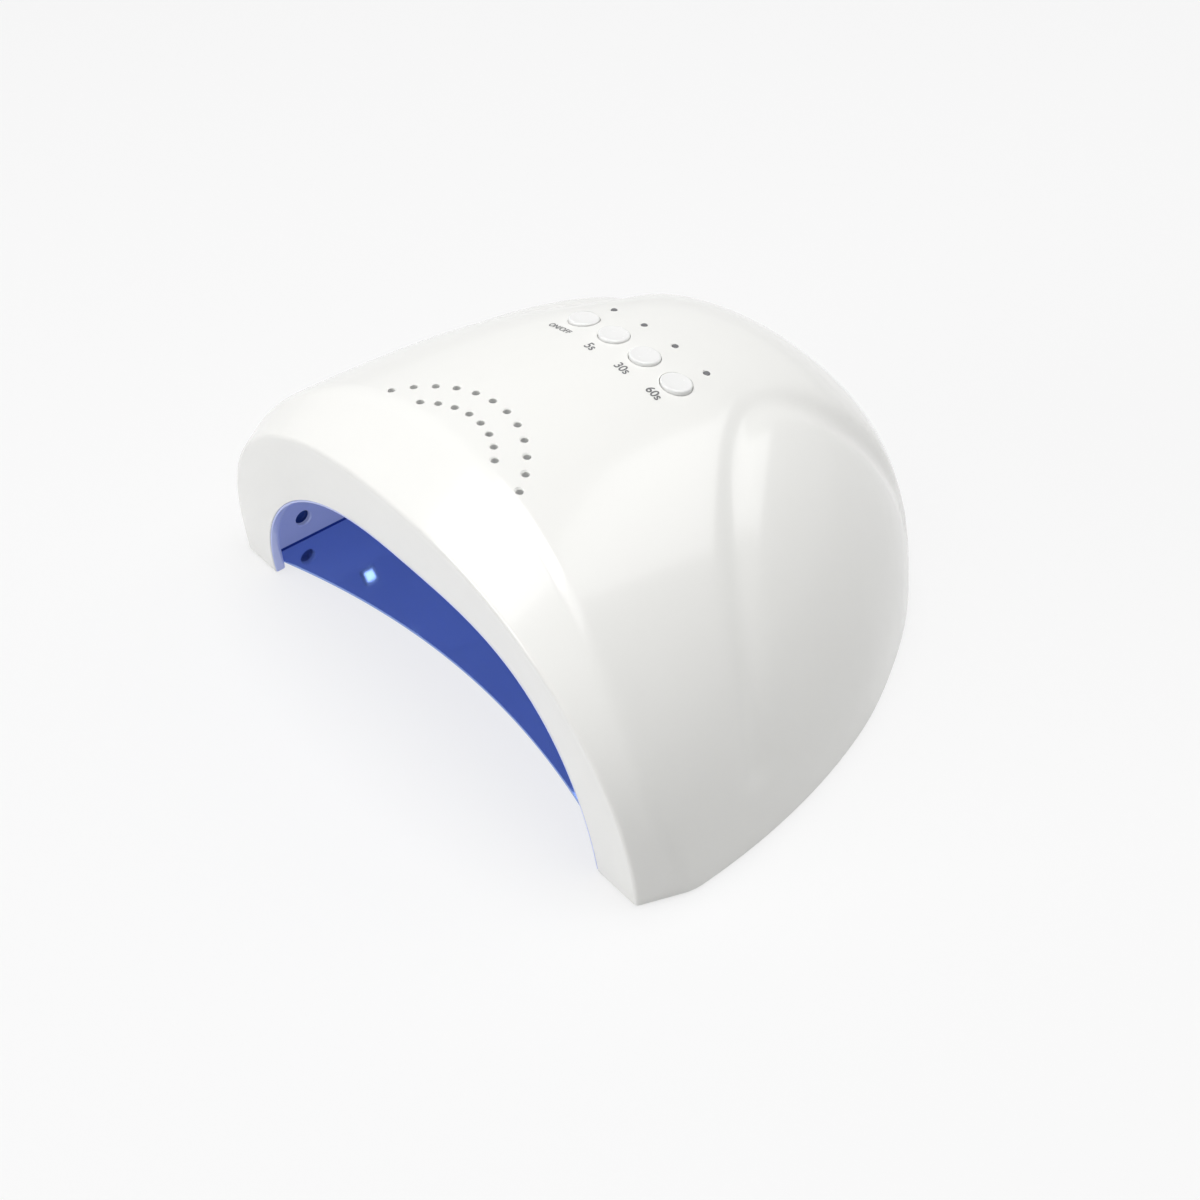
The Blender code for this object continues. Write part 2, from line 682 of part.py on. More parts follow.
def build_shell():
    """Moulded top shell with vents, key and indicator holes, posts and screw bosses."""
    shell = loaf("top_shell", shell_rows(arch_turns(41), 18), "gloss_white")
    hollow = loaf("hollow", hollow_rows(), "gloss_white")
    combine(shell, [hollow], "DIFFERENCE")

    over = CROWN_HEIGHT + OVERRUN
    supports = []
    for place in boss_places():
        low = RING_TOP_Z + GAP
        supports.append(cylinder("boss", BOSS_RADIUS, low, over, place, 12, "gloss_white"))
    for place in board_post_places():
        low = BOARD_TOP_Z + GAP
        supports.append(cylinder("post", POST_RADIUS, low, over, place, 12, "gloss_white"))
    pad_high = TAIL_Y + OVERRUN - jack_face_y()
    supports.append(
        jack_round("pad", JACK_PAD_RADIUS, -JACK_PAD_DEPTH, pad_high, 20, "gloss_white")
    )
    trimmed = combine(supports[0], supports[1:], "UNION")
    combine(trimmed, [dome_core(SHELL_WALL / 2)], "INTERSECT")
    combine(shell, [trimmed], "UNION")

    cuts = []
    under = BOARD_TOP_Z + OVERRUN
    for place in vent_places():
        cuts.append(cylinder("vent", VENT_RADIUS, under, over, place, 8, "gloss_white"))
    for place in key_places():
        cuts.append(cylinder("key_hole", KEY_RADIUS + GAP, under, over, place, 20, "gloss_white"))
    for place in indicator_places():
        radius = INDICATOR_RADIUS + GAP
        cuts.append(cylinder("pipe_hole", radius, under, over, place, 8, "gloss_white"))
    for place in boss_places():
        low, high = -OVERRUN, RING_BOTTOM_Z + SCREW_SEAT + SCREW_LENGTH + GAP
        cuts.append(cylinder("pilot", SCREW_RADIUS + GAP, low, high, place, 8, "gloss_white"))
    for place in board_post_places():
        high = BOARD_TOP_Z - BOARD_THICKNESS + BOARD_SCREW_LENGTH
        low = BOARD_TOP_Z - OVERRUN
        cuts.append(cylinder("pilot", SCREW_RADIUS + GAP, low, high, place, 8, "gloss_white"))
    combine(shell, cuts, "DIFFERENCE")

    # The jack's seat: a flat-floored round pocket with a hole through its pad
    radius = JACK_FLANGE_RADIUS + GAP
    pocket = jack_round("pocket", radius, -JACK_FLANGE, pad_high, 20, "gloss_white")
    combine(shell, [pocket], "DIFFERENCE")
    bore = jack_round("bore", JACK_RADIUS + GAP, -JACK_LENGTH, 0, 16, "gloss_white")
    return combine(shell, [bore], "DIFFERENCE")


def jack_face_y():
    """Where the tail wall stands at the jack's height, less the depth of its seat."""
    low, high = TAIL_Y - JACK_SEARCH, TAIL_Y
    for _ in range(24):
        middle = (low + high) / 2
        if crown_height(middle, 0) > JACK_Z + JACK_FLANGE_RADIUS:
            low = middle
        else:
            high = middle
    return low - JACK_SEAT_DEPTH


def liner_profile(width_share, height_share, grow):
    """Right half of the reflector's arch, from the floor up to the middle of the roof."""
    foot = RING_TOP_Z + GAP
    corners = [
        (LINER_HALF_WIDTH * width_share + grow, foot),
        (LINER_HALF_WIDTH * width_share + grow, LINER_WALL_HEIGHT * height_share + grow / 2),
        (LINER_SHOULDER_X * width_share + grow / 2, LINER_ROOF_EDGE_Z * height_share + grow),
        (LINER_ROOF_HALF_WIDTH * width_share, LINER_ROOF_Z * height_share + grow),
        (0, LINER_ROOF_Z * height_share + grow),
    ]
    return [Vector(c) for c in corners]


def spread(corners, counts):
    """Points along a broken line, with a set number of steps on each stretch."""
    points = []
    for a, b, count in zip(corners, corners[1:], counts):
        points += [a.lerp(b, i / count) for i in range(count)]
    return points + [corners[-1]]


def liner_row(y, width_share, height_share, grow):
    half = spread(liner_profile(width_share, height_share, grow), LINER_STRIP_COUNTS)
    right = [Vector((p.x, y, p.y)) for p in half]
    left = [Vector((-p.x, y, p.y)) for p in reversed(half[:-1])]
    return right + left


def liner_rows(grow):
    """The reflector's tub behind the lip: front, bend, rear bend and rear wall."""
    bend_x, bend_y = LINER_REAR_BEND
    rear_x, rear_y = LINER_REAR
    return [
        liner_row(LINER_FRONT_Y + LINER_WALL - grow, 1, 1, grow),
        liner_row(LINER_BEND_Y, 1, 1, grow),
        liner_row(bend_y, bend_x / LINER_HALF_WIDTH, 1, grow),
        liner_row(
            rear_y + grow, rear_x / LINER_HALF_WIDTH, LINER_REAR_FOOT_Z / LINER_ROOF_Z, grow
        ),
    ]


def build_liner():
    """Blue reflector: a lip seated in the mouth, and a faceted tub behind it."""
    turns = arch_turns(2 * sum(LINER_STRIP_COUNTS) + 1)
    back = SHELL_WALL + GAP
    skin = [mouth_row(turns, GAP, LIP_SET_BACK), mouth_row(turns, GAP, back)]
    for row in skin:
        row[0].z = row[-1].z = LIP_FOOT_Z
    skin += liner_rows(LINER_WALL)
    liner = loaf("reflector", skin, "reflector_blue")

    shrink = GAP + LIP_WALL
    inside = mouth_row(turns, shrink, back + LIP_WALL)
    cut_rows = [flat_row(inside, -FACE_OVERHANG - OVERRUN), inside, *liner_rows(0)]
    hollow = loaf("hollow", [lowered(r, -OVERRUN) for r in cut_rows], "reflector_blue")
    combine(liner, [hollow], "DIFFERENCE")

    windows = []
    for board in LED_FACET_SHARES.values():
        for spot in led_spots(board):
            side = LED_SIDE + 2 * GAP
            size = (side, side, LINER_WALL * 4)
            windows.append(block("window", size, *spot_pose(spot, "reflector_blue")))
    for side in (-1, 1):
        hole_at = (side * LINER_HALF_WIDTH, SIDE_HOLE_Y, SIDE_HOLE_Z)
        profile = [(SIDE_HOLE_RADIUS, -LINER_WALL), (SIDE_HOLE_RADIUS, LINER_WALL * 2)]
        out = Vector((side, 0, 0))
        windows.append(turned("side_hole", profile, hole_at, 12, "reflector_blue", out))
    for x in SENSOR_X:
        centre, out, _ = rear_frame(x, SENSOR_SHARE)
        profile = [(SENSOR_RADIUS + GAP, -LINER_WALL), (SENSOR_RADIUS + GAP, LINER_WALL * 3)]
        windows.append(turned("sensor_hole", profile, centre, 12, "reflector_blue", out))
    combine(liner, windows, "DIFFERENCE")
    return liner


def facet_corners(segment, strip, side):
    """Four inner corners of one facet, seen as near low, near high, far high, far low."""
    rows = liner_rows(0)
    starts = [0]
    for count in LINER_STRIP_COUNTS:
        starts.append(starts[-1] + count)
    low, high = starts[strip], starts[strip + 1]
    near, far = rows[segment], rows[segment + 1]
    corners = [near[low], near[high], far[high], far[low]]
    if strip == len(LINER_STRIP_COUNTS) - 1:
        mirror = [Vector((-p.x, p.y, p.z)) for p in (near[low], far[low])]
        corners = [near[low], mirror[0], mirror[1], far[low]]
    return [Vector((side * p.x, p.y, p.z)) for p in corners]


def led_spots(board):
    """(centre, outward normal, direction back along the facet) of each LED on a board."""
    facets, back_shares, up_shares = board
    spots = []
    for facet in facets:
        near_low, near_high, far_high, far_low = facet_corners(*facet)
        for back in back_shares:
            for up in up_shares:
                low, high = near_low.lerp(far_low, back), near_high.lerp(far_high, back)
                along = (far_low.lerp(far_high, up) - near_low.lerp(near_high, up)).normalized()
                out = along.cross(high - low).normalized()
                centre = low.lerp(high, up)
                if out.dot(centre - Vector((0, centre.y - LINER_WALL, 0))) < 0:
                    out = -out
                spots.append((centre, out, along))
    return spots


def spot_pose(spot, colour, lift=0.0):
    """The arguments that place a block at an LED's spot, lifted off the facet."""
    centre, out, along = spot
    return (centre + out * lift, colour, along, out)


def rear_frame(x, share):
    """A place on the sloping rear wall, share of the way down, with its directions."""
    near_low, near_high, far_high, far_low = facet_corners(2, 3, 1)
    top, bottom = near_low.lerp(near_high, 0.5), far_low.lerp(far_high, 0.5)
    along = (bottom - top).normalized()
    out = Vector((1, 0, 0)).cross(along).normalized()
    if out.z < 0:
        out = -out
    return top.lerp(bottom, share) + Vector((x, 0, 0)), out, along


def build_led_board(name, board):
    """A strip of circuit board behind one facet, with its LEDs through the windows."""
    spots = led_spots(board)
    centre = sum((s[0] for s in spots), Vector()) / len(spots)
    out = sum((s[1] for s in spots), Vector()).normalized()
    along = (spots[0][2] - out * spots[0][2].dot(out)).normalized()
    side = out.cross(along)
    reach_along = max(abs((s[0] - centre).dot(along)) for s in spots)
    reach_side = max(abs((s[0] - centre).dot(side)) for s in spots)
    margin = LED_SIDE / 2 + LED_BOARD_MARGIN
    size = (2 * (reach_along + margin), 2 * (reach_side + margin), LED_BOARD_THICKNESS)
    lift = LINER_WALL + LED_BOARD_LIFT + LED_BOARD_THICKNESS / 2
    strip = block(name, size, centre + out * lift, "board_white", along, out)
    chips = []
    chip_height = LINER_WALL + LED_BOARD_LIFT + LED_PROUD + LED_SINK
    chip_lift = chip_height / 2 - LED_PROUD
    for spot in spots:
        chip_size = (LED_SIDE, LED_SIDE, chip_height)
        chips.append(block("chip", chip_size, *spot_pose(spot, "board_white", chip_lift)))
    return combine(strip, chips, "UNION")


def build_rear_board():
    """The rear LED board, with two holes for the hand sensor."""
    strip = build_led_board("rear_leds", LED_FACET_SHARES["rear_leds"])
    reach = LINER_WALL + LED_BOARD_LIFT + LED_BOARD_THICKNESS + LED_PROUD
    holes = []
    for x in SENSOR_X:
        centre, out, _ = rear_frame(x, SENSOR_SHARE)
        profile = [(SENSOR_RADIUS + GAP, 0), (SENSOR_RADIUS + GAP, reach + LED_BOARD_LIFT)]
        holes.append(turned("hole", profile, centre, 12, "board_white", out))
    return combine(strip, holes, "DIFFERENCE")


def build_hand_sensor():
    """Two round lenses that pass the rear board, joined by a housing behind it."""
    behind = LINER_WALL + LED_BOARD_LIFT + LED_BOARD_THICKNESS + GAP
    centre, out, along = rear_frame(0, SENSOR_SHARE)
    lift = behind + SENSOR_HOUSING[2] / 2
    housing = block("hand_sensor", SENSOR_HOUSING, centre + out * lift, "switch_black", along, out)
    lenses = []
    for x in SENSOR_X:
        spot, _, _ = rear_frame(x, SENSOR_SHARE)
        profile = [
            (SENSOR_RADIUS - LED_PROUD, -LED_PROUD),
            (SENSOR_RADIUS, LED_PROUD),
            (SENSOR_RADIUS, lift),
        ]
        lenses.append(turned("lens", profile, spot, 12, "switch_black", out))
    return combine(housing, lenses, "UNION")


def build_key(name, place):
    """One key: a crowned cap through the shell, a flange under it and a stem."""
    x, y = place
    flange_top = min(around(place, KEY_RADIUS + KEY_FLANGE, SHELL_WALL)) - KEY_FLANGE_DROP
    flange_low = flange_top - KEY_FLANGE_THICKNESS
    edge_z = dome_height_at(x, y, 0) + KEY_PROUD - KEY_CROWN
    profile = [
        (KEY_STEM_RADIUS, SWITCH_TOP_Z + PLUNGER_PROUD + GAP),
        (KEY_STEM_RADIUS, flange_low),
        (KEY_RADIUS + KEY_FLANGE, flange_low),
        (KEY_RADIUS + KEY_FLANGE, flange_top),
        (KEY_RADIUS, flange_top),
        (KEY_RADIUS, edge_z - KEY_ROUND),
        (KEY_RADIUS - KEY_ROUND, edge_z),
        (KEY_RADIUS * KEY_CROWN_SHARE, edge_z + KEY_CROWN),
    ]
    key = turned(name, profile, (x, y, 0), 20, "key_white")
    level = dome_height_at(x, y, 0)
    for v in key.data.vertices:
        if v.co.z > (flange_top + edge_z) / 2:
            v.co.z += (dome_height_at(v.co.x, y, 0) - level) * KEY_FOLLOW_SHARE
            v.co.z += dome_height_at(x, v.co.y, 0) - level - (v.co.y - y) * KEY_TILT_SHARE
    return key


def build_switch(name, place):
    """A tact switch on the board, with the hole its plunger slides in."""
    height = SWITCH_TOP_Z - BOARD_TOP_Z - GAP
    centre = (*place, SWITCH_TOP_Z - height / 2)
    switch = block(name, (SWITCH_SIDE, SWITCH_SIDE, height), centre, "switch_black")
    low = SWITCH_TOP_Z - PLUNGER_DEPTH - KEY_TRAVEL - GAP
    high = SWITCH_TOP_Z + OVERRUN
    hole = cylinder("hole", PLUNGER_RADIUS + GAP, low, high, place, 12, "switch_black")
    return combine(switch, [hole], "DIFFERENCE")


def build_plunger(name, place):
    low, high = SWITCH_TOP_Z - PLUNGER_DEPTH, SWITCH_TOP_Z + PLUNGER_PROUD
    return cylinder(name, PLUNGER_RADIUS, low, high, place, 12, "steel")


def rounded_outline(centre, half_length, half_width, radius, steps):
    """Corners of a rectangle with round corners, counted round it."""
    points = []
    signs = ((1, 1), (-1, 1), (-1, -1), (1, -1))
    for quarter, (across, up) in enumerate(signs):
        for i in range(steps + 1):
            angle = (quarter + i / steps) * math.pi / 2
            x = centre[0] + across * (half_length - radius) + radius * math.cos(angle)
            y = centre[1] + up * (half_width - radius) + radius * math.sin(angle)
            points.append((x, y))
    return points


def build_control_board():
    """Circuit board under the keys, with four screw holes and four indicator LEDs."""
    centre = (0, BOARD_FRONT_Y + BOARD_DEPTH / 2)
    outline = rounded_outline(centre, BOARD_WIDTH / 2, BOARD_DEPTH / 2, BOARD_CORNER, 3)
    board = prism("control_board", outline, BOARD_BOTTOM_Z, BOARD_TOP_Z, "board_green")
    holes = []
    for place in board_post_places():
        low, high = BOARD_BOTTOM_Z - OVERRUN, BOARD_TOP_Z + OVERRUN
        holes.append(cylinder("hole", SCREW_RADIUS + GAP, low, high, place, 8, "board_green"))
    combine(board, holes, "DIFFERENCE")
    lights = []
    length, width, height = INDICATOR_LED
    for place in indicator_places():
        size = (length, width, 2 * height)
        lights.append(block("light", size, (*place, BOARD_TOP_Z), "board_green"))
    return combine(board, lights, "UNION")


def build_board_parts():
    """What hangs under the board: chip, capacitor, coil and the lead's socket."""
    top = BOARD_BOTTOM_Z - GAP
    block("timer_chip", CHIP_SIZE, (*by_keys(CHIP_STEP), top - CHIP_SIZE[2] / 2), "switch_black")
    rim = CAPACITOR_RADIUS - COIL_RIM / 2
    can = [
        (rim, top - CAPACITOR_HEIGHT),
        (CAPACITOR_RADIUS, top - CAPACITOR_HEIGHT + COIL_RIM / 2),
        (CAPACITOR_RADIUS, top),
    ]
    turned("capacitor", can, (*by_keys(CAPACITOR_STEP), 0), 16, "clear_grey")
    low = top - COIL_HEIGHT
    drum = [
        (COIL_RADIUS, low),
        (COIL_RADIUS, low + COIL_RIM),
        (COIL_WAIST_RADIUS, low + COIL_RIM),
        (COIL_WAIST_RADIUS, top - COIL_RIM),
        (COIL_RADIUS, top - COIL_RIM),
        (COIL_RADIUS, top),
    ]
    turned("coil", drum, (*by_keys(COIL_STEP), 0), 16, "copper")
    length, width, height = SOCKET_SIZE
    place = by_keys(SOCKET_STEP)
    socket = block("lead_socket", SOCKET_SIZE, (*place, top - height / 2), "board_white")
    inner = (length - 2 * SOCKET_WALL, width - 2 * SOCKET_WALL, 2 * SOCKET_DEPTH)
    mouth = block("mouth", inner, (*place, top - height), "board_white")
    combine(socket, [mouth], "DIFFERENCE")


def build_light_pipe():
    """One clear moulding: four pipes on a bar that stands on the board."""
    places = indicator_places()
    ends = [min(around(p, PIPE_BAR_WIDTH / 2, SHELL_WALL)) for p in (places[0], places[-1])]
    bar_top = min(ends) - PIPE_BAR_DROP
    reach = places[-1][0] + PIPE_BAR_WIDTH / 2
    size = (2 * reach, PIPE_BAR_WIDTH, PIPE_BAR_THICKNESS)
    centre = (0, places[0][1], bar_top - PIPE_BAR_THICKNESS / 2)
    bar = block("light_pipe", size, centre, "clear_grey")
    pieces = []
    for place in places:
        low = BOARD_TOP_Z + INDICATOR_LED[2] + PIPE_LIGHT_GAP
        high = dome_height_at(*place, 0) + INDICATOR_PROUD
        pieces.append(cylinder("pipe", INDICATOR_RADIUS, low, high, place, 12, "clear_grey"))
    for side in (-1, 1):
        spot = (side * KEY_PITCH, places[0][1])
        low = BOARD_TOP_Z + GAP
        high = bar_top - PIPE_BAR_THICKNESS / 2
        pieces.append(cylinder("foot", PIPE_FOOT_RADIUS, low, high, spot, 8, "clear_grey"))
    return combine(bar, pieces, "UNION")


def build_screw(name, place, head_low, length):
    """A screw driven upwards: rounded head with a cross slot, then the shank."""
    head_high = head_low + SCREW_HEAD_HEIGHT
    profile = [
        (SCREW_HEAD_RADIUS - SCREW_HEAD_ROUND, head_low),
        (SCREW_HEAD_RADIUS, head_low + SCREW_HEAD_ROUND),
        (SCREW_HEAD_RADIUS, head_high),
        (SCREW_RADIUS, head_high),
        (SCREW_RADIUS, head_high + length),
    ]
    screw = turned(name, profile, (*place, 0), 12, "steel")
    size = (SCREW_SLOT_LENGTH, SCREW_SLOT_WIDTH, 2 * SCREW_SLOT_DEPTH)
    slots = [
        block("slot", size, (*place, head_low), "steel"),
        block("slot", size, (*place, head_low), "steel", Vector((0, 1, 0))),
    ]
    cross = combine(slots[0], slots[1:], "UNION")
    return combine(screw, [cross], "DIFFERENCE")


def inner_path(front_y):
    """Inner edge of the base ring, from the right front end round the rear to the left."""
    half = [(LINER_HALF_WIDTH, front_y), (LINER_HALF_WIDTH, LINER_BEND_Y)]
    half += [LINER_REAR_BEND, LINER_REAR]
    return [Vector(p) for p in half] + [Vector((-x, y)) for x, y in reversed(half)]


def offset_path(path, distance):
    """The path moved out by a distance, with mitred corners."""
    moved = []
    for i, here in enumerate(path):
        stretches = [(a, b) for a, b in zip(path, path[1:]) if a is here or b is here]
        normals = []
        for a, b in stretches:
            run = (b - a).normalized()
            normals.append(Vector((run.y, -run.x)))
        mean = sum(normals, Vector((0, 0))).normalized()
        moved.append(here + mean * (distance / mean.dot(normals[0])))
    return moved


def magnet_places():
    places = []
    for side in (-1, 1):
        places.append((side * MAGNET_SIDE_X, MAGNET_SIDE_Y))
        places.append((side * MAGNET_REAR_X, MAGNET_REAR_Y))
    return places


def foot_outlines(grow):
    """Outlines of the four rubber feet, front pair first."""
    radius = FOOT_RADIUS + grow
    reach = FOOT_STRAIGHT / 2 + radius
    outlines = []
    for side in (-1, 1):
        x, y = FRONT_FOOT
        outlines.append(rounded_outline((side * x, y), radius, reach, radius, 4))
    for side in (-1, 1):
        x, y = REAR_FOOT
        outlines.append(rounded_outline((side * x, y), reach, radius, radius, 4))
    return outlines


def build_base_ring():
    """Base ring screwed under the shell: rebate, screw holes, magnet and foot seats."""
    corners = [(-CREST_HALF_WIDTH, RING_FRONT_Y), (-CREST_HALF_WIDTH, TAIL_Y)]
    corners += [(CREST_HALF_WIDTH, TAIL_Y), (CREST_HALF_WIDTH, RING_FRONT_Y)]
    outline = corners + inner_path(RING_FRONT_Y)
    ring = prism("base_ring", outline, RING_BOTTOM_Z, RING_TOP_Z, "key_white")
    combine(ring, [dome_core(SHELL_WALL + GAP)], "INTERSECT")
    outline = offset_path(inner_path(RING_FRONT_Y - OVERRUN), REBATE_WIDTH)
    rebate = prism("rebate", outline, -OVERRUN, REBATE_CEILING_Z, "key_white")
    combine(ring, [rebate], "DIFFERENCE")
    seats, over = [], RING_TOP_Z + OVERRUN
    for place in boss_places():
        seat = RING_BOTTOM_Z + SCREW_SEAT + GAP
        bore = SCREW_HEAD_RADIUS + GAP
        seats.append(cylinder("seat", bore, -OVERRUN, seat, place, 16, "key_white"))
    for place in magnet_places():
        seats.append(cylinder("seat", MAGNET_RADIUS + GAP, 0, over, place, 12, "key_white"))
    for outline in foot_outlines(GAP):
        high = RING_BOTTOM_Z + FOOT_SINK
        seats.append(prism("seat", outline, -OVERRUN, high, "key_white"))
    combine(ring, seats, "DIFFERENCE")
    holes = []
    for place in boss_places():
        holes.append(cylinder("hole", SCREW_RADIUS + GAP, 0, over, place, 8, "key_white"))
    return combine(ring, holes, "DIFFERENCE")


def build_floor_plate():
    """Thin blue plate under the hand, held by the magnets in the ring's rebate."""
    sides = offset_path(inner_path(PLATE_EAR_Y), REBATE_WIDTH - PLATE_SIDE_GAP)
    front = []
    steps = 24
    for i in range(steps + 1):
        x = PLATE_FRONT_HALF_WIDTH * (2 * i / steps - 1)
        dish = 1 - abs(x / PLATE_FRONT_HALF_WIDTH) ** PLATE_FRONT_POWER
        front.append(Vector((x, PLATE_FRONT_Y + PLATE_FRONT_DISH * dish)))
    return prism("floor_plate", sides + front, PLATE_BOTTOM_Z, PLATE_TOP_Z, "plate_blue")


def build_jack():
    """Power inlet: flanged barrel with a centre pin in its bore."""
    behind = -JACK_FLANGE + GAP
    flange = jack_round("dc_jack", JACK_FLANGE_RADIUS, behind, 0, 20, "switch_black")
    barrel = jack_round("barrel", JACK_RADIUS, -JACK_LENGTH, behind / 2, 16, "switch_black")
    combine(flange, [barrel], "UNION")
    bore = jack_round("bore", JACK_BORE_RADIUS, -JACK_BORE_DEPTH, OVERRUN, 16, "switch_black")
    combine(flange, [bore], "DIFFERENCE")
    low, high = -JACK_BORE_DEPTH - GAP, JACK_PIN_LENGTH - JACK_BORE_DEPTH
    pin = jack_round("pin", JACK_PIN_RADIUS, low, high, 8, "switch_black")
    return combine(flange, [pin], "UNION")


def build_jack_nut():
    high = -JACK_PAD_DEPTH - GAP
    nut = jack_round("jack_nut", NUT_RADIUS, high - NUT_THICKNESS, high, 6, "steel")
    low = high - NUT_THICKNESS - GAP
    hole = jack_round("hole", JACK_RADIUS + GAP, low, 0, 16, "steel")
    return combine(nut, [hole], "DIFFERENCE")


def build_power_lead():
    """Round lead from behind the jack, over the rear wall, up into the board's socket."""
    start = Vector((0, jack_face_y() - JACK_LENGTH - GAP, JACK_Z))
    socket_floor = BOARD_BOTTOM_Z - GAP - SOCKET_SIZE[2] + SOCKET_DEPTH
    socket = by_keys(SOCKET_STEP)
    end = Vector((*socket, socket_floor - GAP))
    bends, rise = [], LINER_ROOF_Z - JACK_Z
    for back, aside, up in zip(LEAD_BACK_STEPS, LEAD_SIDE_SHARES, LEAD_RISE_SHARES):
        bends.append(Vector((socket[0] * aside, start.y - back, JACK_Z + rise * up)))
    crest = JACK_Z + rise * LEAD_CREST_SHARE
    bends.append(Vector((socket[0], LINER_REAR[1] - LEAD_CREST_STEP, crest)))
    for over in LEAD_OVER_STEPS:
        bends.append(Vector((socket[0], KEY_Y + over, BOARD_TOP_Z - LEAD_DROP)))
    last = Vector((*socket, bends[-1].z))
    path = [start, *bends, last + Vector((0, 0, LEAD_RADIUS)), end]
    tool = bmesh.new()
    rings = []
    for i, here in enumerate(path):
        along = (path[min(i + 1, len(path) - 1)] - path[max(i - 1, 0)]).normalized()
        side = along.cross(Vector((1, 0, 0))).normalized()
        up = side.cross(along)
        ring = []
        for k in range(8):
            angle = math.pi * k / 4
            reach = side * math.cos(angle) + up * math.sin(angle)
            ring.append(tool.verts.new(here + reach * LEAD_RADIUS))
        rings.append(ring)
    for low, high in zip(rings, rings[1:]):
        for k in range(8):
            tool.faces.new((low[k], low[(k + 1) % 8], high[(k + 1) % 8], high[k]))
    tool.faces.new(rings[0])
    tool.faces.new(rings[-1])
    return new_object("power_lead", tool, "switch_black")


for old in list(bpy.data.objects):
    bpy.data.objects.remove(old)

lamp = bpy.data.objects.new("lamp", None)
bpy.context.scene.collection.objects.link(lamp)
lamp.location = (0, (FACE_OVERHANG - TAIL_Y) / 2, FOOT_STAND)

build_shell()
build_liner()
for name, board in LED_FACET_SHARES.items():
    if name != "rear_leds":
        build_led_board(name, board)
build_rear_board()
build_hand_sensor()
for name, place in zip(KEY_NAMES, key_places()):
    build_key(f"{name}_key", place)
    build_switch(f"{name}_switch", place)
    build_plunger(f"{name}_plunger", place)
build_control_board()
build_board_parts()
build_light_pipe()
for i, place in enumerate(board_post_places()):
    low = BOARD_BOTTOM_Z - GAP - SCREW_HEAD_HEIGHT
    build_screw(f"board_screw_{i + 1}", place, low, BOARD_SCREW_LENGTH)
for i, place in enumerate(boss_places()):
    low = RING_BOTTOM_Z + SCREW_SEAT - SCREW_HEAD_HEIGHT
    build_screw(f"base_screw_{i + 1}", place, low, SCREW_LENGTH)
build_base_ring()
build_floor_plate()
for i, place in enumerate(magnet_places()):
    high = RING_TOP_Z
    cylinder(f"magnet_{i + 1}", MAGNET_RADIUS, high - MAGNET_THICKNESS, high, place, 12, "steel")
for i, outline in enumerate(foot_outlines(0)):
    high = RING_BOTTOM_Z + FOOT_SINK - GAP
    prism(f"rubber_foot_{i + 1}", outline, -FOOT_STAND, high, "rubber_grey")
build_jack()
build_jack_nut()
build_power_lead()

for piece in bpy.data.objects:
    if piece is not lamp:
        piece.parent = lamp
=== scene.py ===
import math

import bpy
from mathutils import Matrix, Vector
from mathutils.kdtree import KDTree


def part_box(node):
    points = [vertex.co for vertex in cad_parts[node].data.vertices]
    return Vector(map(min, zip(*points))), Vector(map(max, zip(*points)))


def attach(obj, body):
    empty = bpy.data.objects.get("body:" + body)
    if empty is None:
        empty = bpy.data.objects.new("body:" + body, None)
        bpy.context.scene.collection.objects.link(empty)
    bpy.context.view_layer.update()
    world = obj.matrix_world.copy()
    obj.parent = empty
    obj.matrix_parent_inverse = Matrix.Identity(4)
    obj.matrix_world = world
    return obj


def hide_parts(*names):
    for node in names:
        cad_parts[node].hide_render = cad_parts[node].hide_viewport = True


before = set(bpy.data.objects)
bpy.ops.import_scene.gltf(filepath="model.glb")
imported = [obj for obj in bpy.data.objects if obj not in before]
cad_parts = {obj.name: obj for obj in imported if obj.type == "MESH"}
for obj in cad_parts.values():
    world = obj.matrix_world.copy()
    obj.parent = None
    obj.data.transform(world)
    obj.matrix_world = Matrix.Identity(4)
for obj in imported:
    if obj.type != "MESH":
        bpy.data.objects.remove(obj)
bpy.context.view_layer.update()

# ---- The view
# A single camera stands in front of the right corner of the lamp and looks down on the
# crown. It has no tilt to the side, no shift and no depth of field.
VIEW_FROM = Vector((0.3637, -0.3232, 0.4425))
VIEW_TO = Vector((0.0337, -0.0475, 0.0460))
FOCAL_LENGTH = 61.07
FILM_WIDTH = 36.0

bpy.ops.object.camera_add(location=VIEW_FROM)
camera = bpy.context.object
camera.name = "camera"
camera.rotation_euler = (VIEW_TO - VIEW_FROM).to_track_quat("-Z", "Y").to_euler()
camera.data.lens = FOCAL_LENGTH
camera.data.sensor_width = FILM_WIDTH
camera.data.clip_start = 0.01
bpy.context.scene.camera = camera

# ---- Top shell
# The top shell is one glossy white injection moulding, 2.8 mm thick and screwed down on
# the base ring. A sharp crease frames the leaning front face, and a soft one divides the
# band behind it from the dome, which carries two valleys, the vents and the key holes.
FRONT_FEET_Y = -0.0883
TABLE_GAP = 0.001
CREST_HALF_WIDTH = 0.104
CROWN_HEIGHT = 0.099
TAIL_Y = 0.183
WIDEST_Y = 0.015
FLAT_CROWN_Y = 0.030
PLAN_POWERS = (2.05, 1.76)
CROWN_POWERS = (3.9, 1.04)
SHELL_WALL = 0.0028
BAND_TOP_Y = 0.014
BAND_FOOT_LEAD = 0.002
BAND_BOW = 0.0098
FACE_HALF_WIDTH = 0.098
FACE_HEIGHT = 0.0852
FACE_OVERHANG = 0.0064
FACE_POWER = 2.3
MOUTH_HALF_WIDTH = 0.0816
MOUTH_HEIGHT = 0.0574
MOUTH_POWERS = (3.0, 2.04)
MOUTH_DISH = 0.0076
MOUTH_SET_BACK = 0.0004
GROOVE_DEPTH = 0.0012
GROOVE_SPREAD = 0.0046
SPINE_RISE = 0.0017
LOBE_SINK = 0.0009
